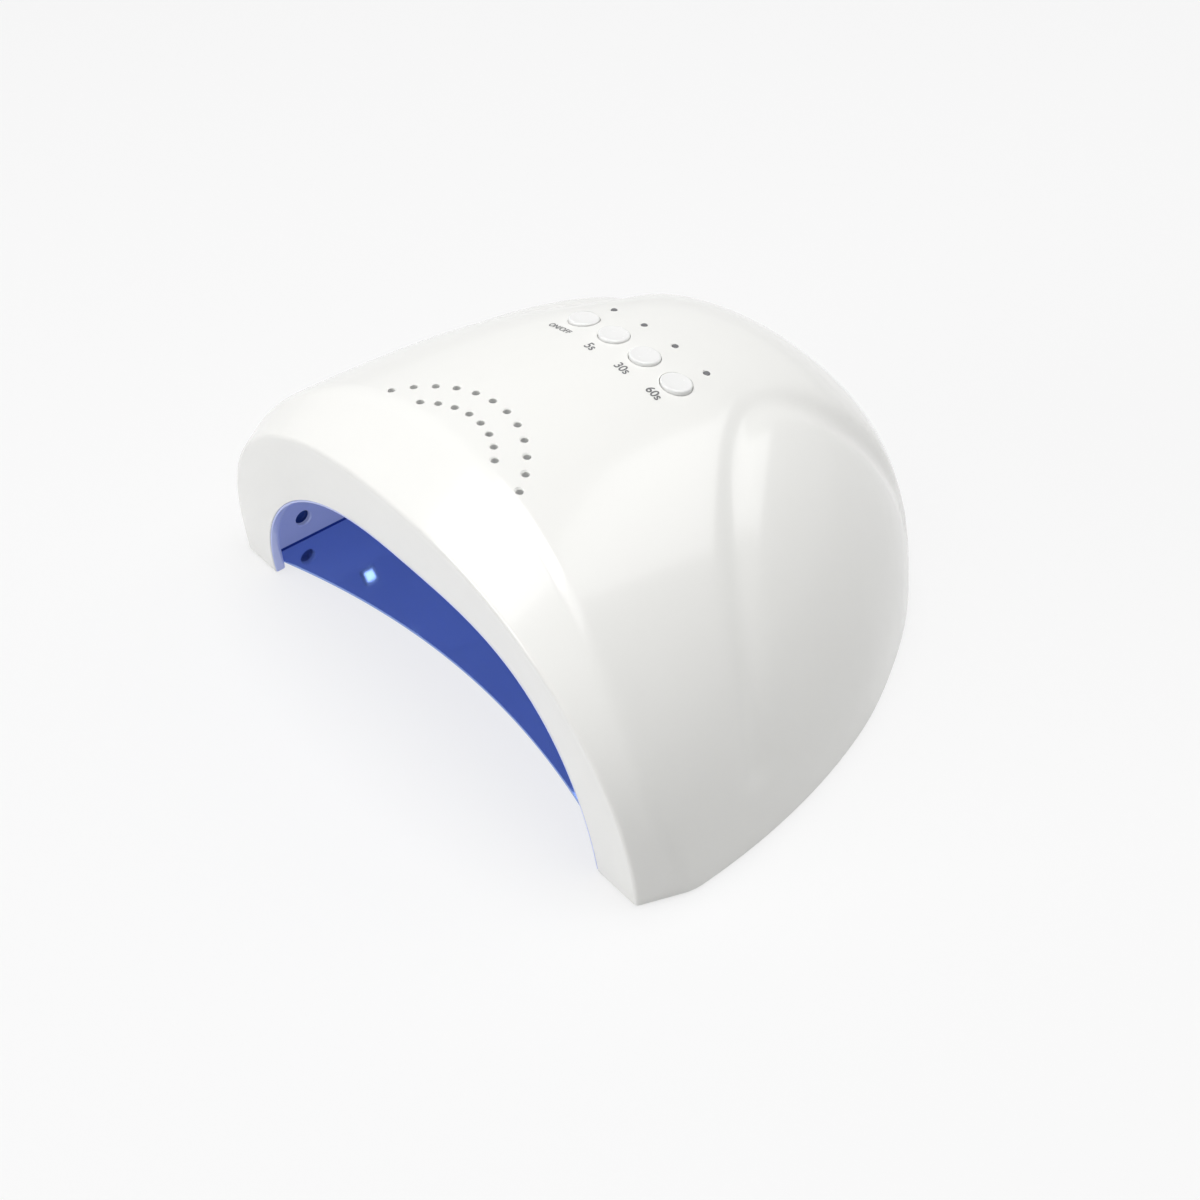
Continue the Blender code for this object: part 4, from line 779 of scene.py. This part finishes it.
def facet_places():
    """A matrix for each LED: its X runs back along the facet and its Z points out."""
    places = []
    for facets, back_shares, up_shares in LED_FACETS:
        for where in facets:
            near_low, near_high, far_high, far_low = facet(*where)
            for back in back_shares:
                for up in up_shares:
                    low, high = near_low.lerp(far_low, back), near_high.lerp(far_high, back)
                    along = far_low.lerp(far_high, up) - near_low.lerp(near_high, up)
                    along.normalize()
                    outward = along.cross(high - low).normalized()
                    centre = low.lerp(high, up)
                    if outward.dot(centre - Vector((0, centre.y - LINER_WALL, 0))) < 0:
                        outward = -outward
                    places.append(frame_at(centre, along, outward))
    return places


def copies(piece, matrices, name):
    """Puts a copy of a piece at each place and joins them as one object."""
    made = []
    for matrix in matrices:
        twin = piece.copy()
        twin.data = piece.data.copy()
        twin.data.transform(matrix)
        bpy.context.collection.objects.link(twin)
        made.append(twin)
    bpy.data.objects.remove(piece)
    whole = joined(made)
    whole.name = whole.data.name = name
    return whole


def selected_faces(piece, keep):
    """Goes into edit mode with only the faces selected whose centre passes the test."""
    bpy.context.view_layer.objects.active = piece
    bpy.ops.object.mode_set(mode="EDIT")
    bpy.ops.mesh.select_all(action="DESELECT")
    bpy.ops.mesh.select_mode(type="FACE")
    bpy.ops.object.mode_set(mode="OBJECT")
    for polygon in piece.data.polygons:
        polygon.select = keep(polygon)
    bpy.ops.object.mode_set(mode="EDIT")


def looks_inward(face):
    """True for a face that looks into the hand space before its piece is placed."""
    return face.normal.z < -0.99


LED_PLACES = facet_places()
LED_WINDOW = 0.0056
window = block("window", (LED_WINDOW, LED_WINDOW, 0.008), (0, 0, 0.0042))
selected_faces(window, looks_inward)
bpy.ops.mesh.extrude_region_move(TRANSFORM_OT_translate={"value": (0, 0, -0.0004)})
bpy.ops.transform.resize(value=(1.18, 1.18, 1), center_override=(0, 0, 0))
bpy.ops.mesh.extrude_region_move(TRANSFORM_OT_translate={"value": (0, 0, -0.002)})
bpy.ops.object.mode_set(mode="OBJECT")
cutters = [copies(window, LED_PLACES, "windows")]
SIDE_HOLE_Y, SIDE_HOLE_Z = 0.016, 0.010
cups = []
for side in (-1, 1):
    place = (side * LINER_HALF_WIDTH, SIDE_HOLE_Y, SIDE_HOLE_Z)
    rings = ((0.0031, -0.003), (0.0031, -0.0001), (0.0028, 0.0002), (0.0028, 0.004))
    cutters.append(turned("side_hole", rings, 40, (side, 0, 0), place))
    rings = ((0.0001, 0.0027), (0.0025, 0.0027), (0.0028, 0.0024), (0.0028, 0.0015))
    rings += ((0.0036, 0.0015), (0.0036, 0.0029), (0.0032, 0.0033), (0.0001, 0.0033))
    cups.append(turned("cup", rings, 40, (side, 0, 0), place))
near_low, near_high, far_high, far_low = facet(2, 3, 1)
near_middle, far_middle = near_low.lerp(near_high, 0.5), far_low.lerp(far_high, 0.5)
rear_out = Vector((1, 0, 0)).cross((far_middle - near_middle).normalized()).normalized()
rear_out = rear_out if rear_out.z > 0 else -rear_out
SENSOR_CENTRE = near_middle.lerp(far_middle, 0.5)
SENSOR_PLACES = [SENSOR_CENTRE + Vector((x, 0, 0)) for x in (-0.003, 0.003)]
rings = ((0.0019, -0.002), (0.0019, 0.005))
for place in SENSOR_PLACES:
    cutters.append(turned("sensor_hole", rings, 32, rear_out, place))
cut(reflector, cutters)
smoothed(reflector, 30)

# The tray's faint blue glow is painted light: the tray gives off light of its own, which stands
# in for the LED light that fills the hand space.
reflector_blue_painted_glow = Finish("metallised blue, painted glow", Metallic=0.25, Coat_Weight=0.3, Coat_Roughness=0.08,
                        Emission_Strength=1.0)
cloud = reflector_blue_painted_glow.noise(0.03, 3.0)
reflector_blue_painted_glow.coloured(cloud, (0.35, 0.39, 0.66), (0.40, 0.44, 0.69))
reflector_blue_painted_glow.glowing(cloud, (0.095, 0.110, 0.165), (0.105, 0.120, 0.180))
reflector_blue_painted_glow.rough(0.26 + 0.1 * reflector_blue_painted_glow.noise(0.004, 3.0))
reflector_blue_painted_glow.bumped(reflector_blue_painted_glow.noise(0.0022), 0.00001)
dress([reflector], reflector_blue_painted_glow)
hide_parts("reflector")

# The caps' deep, dark blue is painted shade: it stands in for the shade inside the side holes.
cap_blue_painted_shade = Finish("blue plastic, painted shade")
cap_blue_painted_shade.coloured(cap_blue_painted_shade.noise(0.002), (0.007, 0.050, 0.25), (0.013, 0.066, 0.30))
cap_blue_painted_shade.rough(0.38 + 0.1 * cap_blue_painted_shade.noise(0.0008))
caps = smoothed(joined(cups), 30)
caps.name = caps.data.name = "side_caps"
dress([caps], cap_blue_painted_shade)

# ---- LEDs
# Square 5 mm LEDs stand in the windows of the reflector. Each has a white ceramic frame
# round a shallow well, filled with a clear cushion that glows a cold white.
LED_SIZE = 0.005
CUSHION_SIZE = 0.0033
holder = block("led_frame", (LED_SIZE, LED_SIZE, 0.0013), (0, 0, 0.0001), 0.00015)
selected_faces(holder, looks_inward)
bpy.ops.mesh.inset(thickness=0.00045)
bpy.ops.mesh.extrude_region_move(TRANSFORM_OT_translate={"value": (0, 0, 0.0003)})
bpy.ops.transform.resize(value=(0.88, 0.88, 1), center_override=(0, 0, 0))
bpy.ops.object.mode_set(mode="OBJECT")
frames = smoothed(copies(holder, LED_PLACES, "led_frames"))
led_ceramic = Finish("led ceramic")
led_ceramic.coloured(led_ceramic.noise(0.001), (0.78, 0.78, 0.76), (0.84, 0.84, 0.83))
led_ceramic.rough(0.5 + 0.1 * led_ceramic.noise(0.0005))
dress([frames], led_ceramic)

cushion = block("led_cushion", (CUSHION_SIZE, CUSHION_SIZE, 0.0005), (0, 0, -0.0001))
selected_faces(cushion, looks_inward)
bpy.ops.mesh.inset(thickness=0.0004)
bpy.ops.transform.translate(value=(0, 0, -0.00014))
bpy.ops.mesh.inset(thickness=0.0006)
bpy.ops.transform.translate(value=(0, 0, -0.00005))
bpy.ops.object.mode_set(mode="OBJECT")
cushions = smoothed(copies(cushion, LED_PLACES, "led_lenses"), 50)
led_glow = Finish("led lens", Coat_Weight=0.6, IOR=1.45, Emission_Strength=3.0)
led_glow.coloured(led_glow.noise(0.0007), (0.80, 0.84, 0.95), (0.88, 0.90, 0.98))
led_glow.glowing(led_glow.noise(0.0012), (0.66, 0.80, 1.0), (0.84, 0.92, 1.0))
led_glow.rough(0.12 + 0.08 * led_glow.noise(0.0006))
dress([cushions], led_glow)

solder_white = Finish("white solder mask")
solder_white.coloured(solder_white.noise(0.002, 3.0), (0.74, 0.75, 0.72), (0.82, 0.82, 0.80))
solder_white.rough(0.38 + 0.15 * solder_white.noise(0.001, 3.0))
solder_white.bumped(solder_white.noise(0.0008), 0.00001)
dress_nodes([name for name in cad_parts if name.endswith("_leds")], solder_white)

# ---- Hand sensor
# Two dark round lenses look out of the rear slope and switch the lamp on when a hand
# comes in. They share a black housing behind the rear LED board.
eyes = []
for place in SENSOR_PLACES:
    rings = [(0.0015, 0.003), (0.0015, -0.0001), (0.00135, -0.0005), (0.001, -0.0008)]
    rings += [(0.0005, -0.00098), (0.00015, -0.00102)]
    eyes.append(turned("eye", rings, 32, rear_out, place))
eyes = smoothed(joined(eyes), 40)
eyes.name = eyes.data.name = "sensor_lenses"
dark_lens = Finish("dark lens", Coat_Weight=0.8, IOR=1.5)
dark_lens.coloured(dark_lens.noise(0.0008), (0.012, 0.010, 0.014), (0.030, 0.022, 0.030))
dark_lens.rough(0.12 + 0.1 * dark_lens.noise(0.0006))
dress([eyes], dark_lens)

black_plastic = Finish("black plastic")
black_plastic.coloured(black_plastic.noise(0.003), (0.020, 0.020, 0.021), (0.035, 0.035, 0.036))
black_plastic.rough(0.42 + 0.16 * black_plastic.noise(0.0008, 3.0))
black_plastic.bumped(black_plastic.noise(0.0004), 0.000008)
dress_nodes(["hand_sensor", "timer_chip"], black_plastic)
dress_nodes([name + "_switch" for name in KEY_NAMES], black_plastic)

# ---- Floor plate
# A loose sheet steel plate, 1 mm thick with a mirror-like blue lacquer, is the floor under
# the hand. Its front edge curves back under the mouth, and magnets hold it in the ring.
PLATE_LOW, PLATE_HIGH = 0.0006, 0.0016
PLATE_MARGIN = 0.0055
PLATE_FRONT_HALF_WIDTH = 0.084
PLATE_FRONT_Y = 0.0039
PLATE_FRONT_BOW = 0.0146


def inner_path(front_y):
    """The foot of the reflector's wall, from the right front end round to the left."""
    half = [(LINER_HALF_WIDTH, front_y)]
    half += [(LINER_HALF_WIDTH * share, y) for y, share, _ in LINER_STATIONS[1:]]
    return [Vector(p) for p in half] + [Vector((-x, y)) for x, y in reversed(half)]


def offset_path(path, distance):
    """The path moved out by a distance, with mitred corners."""
    moved = []
    for i, here in enumerate(path):
        ends = [(a, b) for a, b in zip(path, path[1:]) if a is here or b is here]
        normals = [Vector(((b - a).normalized().y, -(b - a).normalized().x)) for a, b in ends]
        mean = sum(normals, Vector((0, 0))).normalized()
        moved.append(here + mean * (distance / mean.dot(normals[0])))
    return moved


def outlined(name, outline, low, high):
    """A flat piece: a disc whose rim is put on an outline, drawn up to its thickness."""
    deselect()
    bpy.ops.mesh.primitive_circle_add(vertices=len(outline), radius=1, fill_type="NGON")
    piece = bpy.context.object
    piece.name = piece.data.name = name
    for vertex, spot in zip(piece.data.vertices, outline):
        vertex.co = seated(spot[0], spot[1], low)
    bpy.ops.object.mode_set(mode="EDIT")
    bpy.ops.mesh.select_all(action="SELECT")
    bpy.ops.mesh.extrude_region_move(TRANSFORM_OT_translate={"value": (0, 0, high - low)})
    bpy.ops.mesh.select_all(action="SELECT")
    bpy.ops.mesh.normals_make_consistent(inside=False)
    bpy.ops.object.mode_set(mode="OBJECT")
    return piece


def bevelled(piece, width, segments, degrees):
    """Rounds a piece's sharp edges with an applied Bevel."""
    deselect()
    piece.select_set(True)
    bpy.context.view_layer.objects.active = piece
    change = piece.modifiers.new("edge", "BEVEL")
    change.width, change.segments = width, segments
    change.limit_method, change.angle_limit = "ANGLE", math.radians(degrees)
    bpy.ops.object.modifier_apply(modifier="edge")
    return piece


plate_outline = offset_path(inner_path(0.006), PLATE_MARGIN)
for i in range(97):
    share = i / 48 - 1
    front_y = PLATE_FRONT_Y + PLATE_FRONT_BOW * (1 - share * share)
    plate_outline.append(Vector((PLATE_FRONT_HALF_WIDTH * share, front_y)))
plate = outlined("floor_sheet", plate_outline, PLATE_LOW, PLATE_HIGH)
plate = smoothed(bevelled(plate, 0.0002, 2, 30), 20)
plate_blue = Finish("blue lacquer", Metallic=0.85, Coat_Weight=0.3, Coat_Roughness=0.03)
plate_blue.coloured(plate_blue.noise(0.05, 3.0), (0.26, 0.38, 0.74), (0.275, 0.40, 0.77))
plate_blue.rough(0.06 + 0.04 * plate_blue.noise(0.006, 3.0))
plate_blue.bumped(plate_blue.noise(0.003, 1.0), 0.000004)
dress([plate], plate_blue, "floor_plate_body")
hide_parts("floor_plate")

# ---- Painted shade strip
# A thin dark blue strip stands under the reflector's wall, all round the hand space, and
# fills the gap down to the floor plate. It is painted shade: it gives that gap its dark line.
SHADE_STRIP_OUTER, SHADE_STRIP_INNER = -0.00008, -0.00030
SHADE_STRIP_CLEARANCE = 0.00002
strip = offset_path(inner_path(0.0064), SHADE_STRIP_OUTER)
strip += reversed(offset_path(inner_path(0.0064), SHADE_STRIP_INNER))
shade_strip = outlined("painted_shade_strip", strip, PLATE_HIGH + SHADE_STRIP_CLEARANCE, SKIRT_FOOT - SHADE_STRIP_CLEARANCE)
shade_strip = smoothed(shade_strip)
# Dark blue painted shade for the gap under the reflector's wall.
shade_strip_blue = Finish("dark blue painted shade")
shade_strip_blue.coloured(shade_strip_blue.noise(0.0008, 3.0), (0.030, 0.085, 0.40), (0.040, 0.105, 0.47))
shade_strip_blue.rough(0.85 + 0.1 * shade_strip_blue.noise(0.0005))
dress([shade_strip], shade_strip_blue)

# ---- Base ring, magnets and screws
# The base ring is a satin white moulding that closes the shell from below. Six zinc-plated
# screws hold it, sunk in round wells, and four nickel-plated magnets sit in its rebate.
satin_white = Finish("satin white")
satin_white.coloured(satin_white.noise(0.02), (0.83, 0.83, 0.82), (0.87, 0.87, 0.86))
satin_white.rough(0.40 + 0.14 * satin_white.noise(0.003, 3.0))
satin_white.bumped(satin_white.noise(0.0008), 0.00002)
dress_nodes(["base_ring", "lead_socket"], satin_white)

nickel = Finish("nickel plate", Metallic=1.0)
nickel.coloured(nickel.noise(0.0015), (0.62, 0.61, 0.58), (0.72, 0.71, 0.69))
nickel.rough(0.20 + 0.15 * nickel.noise(0.0006, 3.0))
dress_nodes([f"magnet_{i}" for i in range(1, 5)], nickel)

zinc = Finish("zinc plate", Metallic=1.0)
zinc.coloured(zinc.noise(0.001, 3.0), (0.50, 0.50, 0.50), (0.66, 0.66, 0.65))
zinc.rough(0.28 + 0.2 * zinc.noise(0.0004, 3.0, (1, 1, 6)))
for number in range(1, 7):
    low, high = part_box(f"base_screw_{number}")
    x, y = (low[0] + high[0]) / 2, (low[1] + high[1]) / 2 - FRONT_FEET_Y
    head = low[2] - TABLE_GAP
    rings = [(0.0012, head), (0.0019, head + 0.00008), (0.0023, head + 0.0003)]
    rings += [(0.0025, head + 0.0007), (0.0025, head + 0.0016), (0.0013, head + 0.0016)]
    rings += [(0.0013, head + 0.0084), (0.0004, head + 0.0096)]
    screw = turned(f"base_screw_head_{number}", rings, 32, place=(x, y, 0))
    middle = seated(x, y, head + 0.0003)
    for size in ((0.0030, 0.0006, 0.0014), (0.0006, 0.0030, 0.0014)):
        cut(screw, [block("slot", size, middle)])
    dress([smoothed(screw)], zinc)
    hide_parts(f"base_screw_{number}")
dress_nodes([f"board_screw_{i}" for i in range(1, 5)] + ["jack_nut"], zinc)

# ---- Rubber feet
# Four oblong feet of matt grey rubber are pressed into seats in the base ring, so that
# the lamp doesn't slide on the table.
def oblong(centre, half_x, half_y, radius):
    """Corners of a rectangle with round ends, counted round it."""
    points = []
    for quarter, (across, up) in enumerate(((1, 1), (-1, 1), (-1, -1), (1, -1))):
        for i in range(11):
            angle = (quarter + i / 10) * math.pi / 2
            x = centre[0] + across * (half_x - radius) + radius * math.cos(angle)
            y = centre[1] + up * (half_y - radius) + radius * math.sin(angle)
            points.append(Vector((x, y)))
    return [p for p, q in zip(points, points[1:] + points[:1]) if (p - q).length > 0.00001]


rubber = Finish("grey rubber")
rubber.coloured(rubber.noise(0.003, 3.0), (0.13, 0.13, 0.135), (0.19, 0.19, 0.195))
rubber.rough(0.78 + 0.15 * rubber.noise(0.001, 3.0))
rubber.bumped(rubber.noise(0.0005, 3.0), 0.00003)
for number in range(1, 5):
    low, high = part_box(f"rubber_foot_{number}")
    centre = ((low[0] + high[0]) / 2, (low[1] + high[1]) / 2 - FRONT_FEET_Y)
    half_x, half_y = (high[0] - low[0]) / 2, (high[1] - low[1]) / 2
    outline = oblong(centre, half_x, half_y, min(half_x, half_y))
    foot = outlined(f"foot_pad_{number}", outline, low[2] - TABLE_GAP, high[2] - TABLE_GAP)
    foot = smoothed(bevelled(foot, 0.0004, 3, 50))
    dress([foot], rubber)
    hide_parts(f"rubber_foot_{number}")

# ---- Power inlet
# The round inlet is a black barrel with a plated centre pin. Its flange lies in a round
# white seat in the tail of the shell, and a nut inside holds it.
def inlet_round(name, rings, sides=64):
    """A round piece on the inlet's axis, which runs out of the tail."""
    return turned(name, rings, sides, (0, 1, 0), (0, INLET_Y, INLET_Z))


def rim_depth(angle, radius):
    """How far the middle of the shell's wall stands behind the inlet's face."""
    x, z = radius * math.cos(angle), INLET_Z + radius * math.sin(angle)
    low, high = 0.120, TAIL_Y
    for _ in range(30):
        middle = (low + high) / 2
        low, high = (middle, high) if dome_height(x, middle, 0.0012) > z else (low, middle)
    return low - INLET_Y


seat = inlet_round("inlet_seat", ((0.0060, -0.0050), (0.0094, -0.0050), (0.0094, 0.002)))
selected_faces(seat, lambda face: face.normal.y > 0.99)
bpy.ops.mesh.inset(thickness=0.0021)
bpy.ops.mesh.extrude_region_move(TRANSFORM_OT_translate={"value": (0, -0.0034, 0)})
bpy.ops.mesh.inset(thickness=0.0012)
bpy.ops.mesh.extrude_region_move(TRANSFORM_OT_translate={"value": (0, -0.0024, 0)})
bpy.ops.object.mode_set(mode="OBJECT")
for vertex in seat.data.vertices:  # the rim is drawn in to the slope of the tail
    x, z = vertex.co.x, vertex.co.z - TABLE_GAP - INLET_Z
    if vertex.co.y - FRONT_FEET_Y - INLET_Y > 0.001:
        depth = rim_depth(math.atan2(z, x), math.hypot(x, z))
        vertex.co.y = INLET_Y + FRONT_FEET_Y + depth
dress([smoothed(seat)], gloss_white)

rings = [(0.0056, -0.014), (0.0056, -0.0011), (0.0070, -0.0011), (0.0070, -0.0003)]
rings += [(0.0067, 0.0), (0.0042, 0.0), (0.0040, -0.0003), (0.0036, -0.0003)]
rings += [(0.0034, -0.0001), (0.0031, -0.0004), (0.0031, -0.0095)]
barrel = smoothed(inlet_round("inlet_barrel", rings), 25)
dress([barrel], black_plastic)
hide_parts("dc_jack")
rings = [(0.0009, -0.0096), (0.0009, -0.0019), (0.0007, -0.0015), (0.0003, -0.0014)]
pin = smoothed(inlet_round("inlet_pin", rings, 32))
dress([pin], nickel)

# ---- Control board and what stands on it
# A green circuit board hangs on four posts under the crown, with tact switches and LEDs on
# top, and a chip, capacitor, coil and lead socket below. A black lead joins it to the inlet.
solder_green = Finish("green solder mask", Coat_Weight=0.4)
tracks = solder_green.node(
    "ShaderNodeTexBrick", {"offset": 0.5},
    {"Vector": solder_green.place, "Scale": 160.0, "Mortar Size": 0.03}, "Fac",
)
solder_green.coloured(tracks, (0.02, 0.17, 0.075), (0.06, 0.30, 0.13))
solder_green.rough(0.30 + 0.12 * solder_green.noise(0.002))
solder_green.bumped(tracks, 0.00002)
dress_nodes(["control_board"], solder_green)

plunger = Finish("plunger")
plunger.coloured(plunger.noise(0.0006), (0.08, 0.08, 0.085), (0.13, 0.13, 0.135))
plunger.rough(0.4 + 0.1 * plunger.noise(0.0004))
dress_nodes([name + "_plunger" for name in KEY_NAMES], plunger)

can = Finish("drawn aluminium", Metallic=1.0)
can.coloured(can.noise(0.001, 2.0, (1, 1, 0.1)), (0.60, 0.60, 0.61), (0.74, 0.74, 0.75))
can.rough(0.3 + 0.12 * can.noise(0.0005, 2.0, (1, 1, 0.1)))
dress_nodes(["capacitor"], can)

copper = Finish("enamelled copper", Metallic=0.9, Coat_Weight=0.5)
turns_of_wire = copper.node(
    "ShaderNodeTexWave", {"bands_direction": "Z"}, {"Vector": copper.place, "Scale": 900.0}
)
copper.coloured(turns_of_wire, (0.30, 0.11, 0.05), (0.62, 0.28, 0.13))
copper.rough(0.28 + 0.1 * copper.noise(0.0008))
copper.bumped(turns_of_wire, 0.00008)
dress_nodes(["coil"], copper)

sheath = Finish("lead sheath")
sheath.coloured(sheath.noise(0.002), (0.022, 0.022, 0.023), (0.04, 0.04, 0.042))
sheath.rough(0.5 + 0.15 * sheath.noise(0.0008, 3.0))
dress_nodes(["power_lead"], sheath)

# ---- Floor and light
# The lamp stands on a plain white sweep in a pale room. Soft panels hang over it and stand
# low in front, behind and at the right, and the sweep keeps the lamp's shade.
FLOOR_SHINE = 0.74
FLOOR_TONE = (0.79, 0.79, 0.79)
ROOM_LIGHT = 0.13
PANEL_AIM = Vector((0, 0, 0.05))


def shown_rays(tree):
    """1 for a ray from the camera, or one that a glossy or clear surface sends on."""
    camera_ray, glossy_ray, clear_ray = [
        tree.node("ShaderNodeLightPath", output=f"Is {kind} Ray")
        for kind in ("Camera", "Glossy", "Transmission")
    ]
    return 1 - (1 - camera_ray) * (1 - glossy_ray) * (1 - clear_ray)


deselect()
bpy.ops.mesh.primitive_plane_add(size=8)
floor = bpy.context.object
floor.name = "floor"
white = bpy.data.materials.new("white sweep")
sweep = NodeTree(white)
sweep.nodes.remove(sweep.nodes["Principled BSDF"])
lit = sweep.node("ShaderNodeBsdfDiffuse", None, {"Color": (*FLOOR_TONE, 1)})
plain = sweep.node("ShaderNodeEmission", None, {"Color": (1, 1, 1, 1)})
inputs = {0: FLOOR_SHINE * shown_rays(sweep), 1: lit, 2: plain}
sweep.feed(sweep.nodes["Material Output"].inputs["Surface"],
           sweep.node("ShaderNodeMixShader", None, inputs))
floor.data.materials.append(white)


def panel(name, azimuth, elevation, distance, size, watts):
    """A soft box that faces the lamp from an azimuth, 0 in front, and an elevation."""
    azimuth, elevation = math.radians(azimuth), math.radians(elevation)
    flat = math.cos(elevation)
    away = Vector((math.sin(azimuth) * flat, -math.cos(azimuth) * flat, math.sin(elevation)))
    bpy.ops.object.light_add(type="AREA", location=PANEL_AIM + away * distance)
    lamp = bpy.context.object
    lamp.name = name
    lamp.rotation_euler = (-away).to_track_quat("-Z", "Y").to_euler()
    lamp.data.shape = "RECTANGLE"
    lamp.data.size, lamp.data.size_y = size
    lamp.data.energy = watts


panel("top panel", 0, 90, 1.6, (1.0, 1.0), 13.0)
panel("front panel", -18, 57, 1.4, (0.91, 0.62), 3.4)
panel("low panel", -15, 14, 2.2, (1.2, 0.8), 16.0)
panel("rear panel", 160, 48, 1.8, (1.0, 1.0), 4.8)
panel("right panel", 100, 72, 1.8, (1.0, 1.0), 5.6)

world = bpy.data.worlds.new("room")
bpy.context.scene.world = world
room = NodeTree(world)
room.feed(room.nodes["Background"].inputs["Color"], (1, 1, 1, 1))
room.feed(room.nodes["Background"].inputs["Strength"],
          ROOM_LIGHT + (1 - ROOM_LIGHT) * shown_rays(room))
bpy.context.scene.view_settings.view_transform = "Standard"
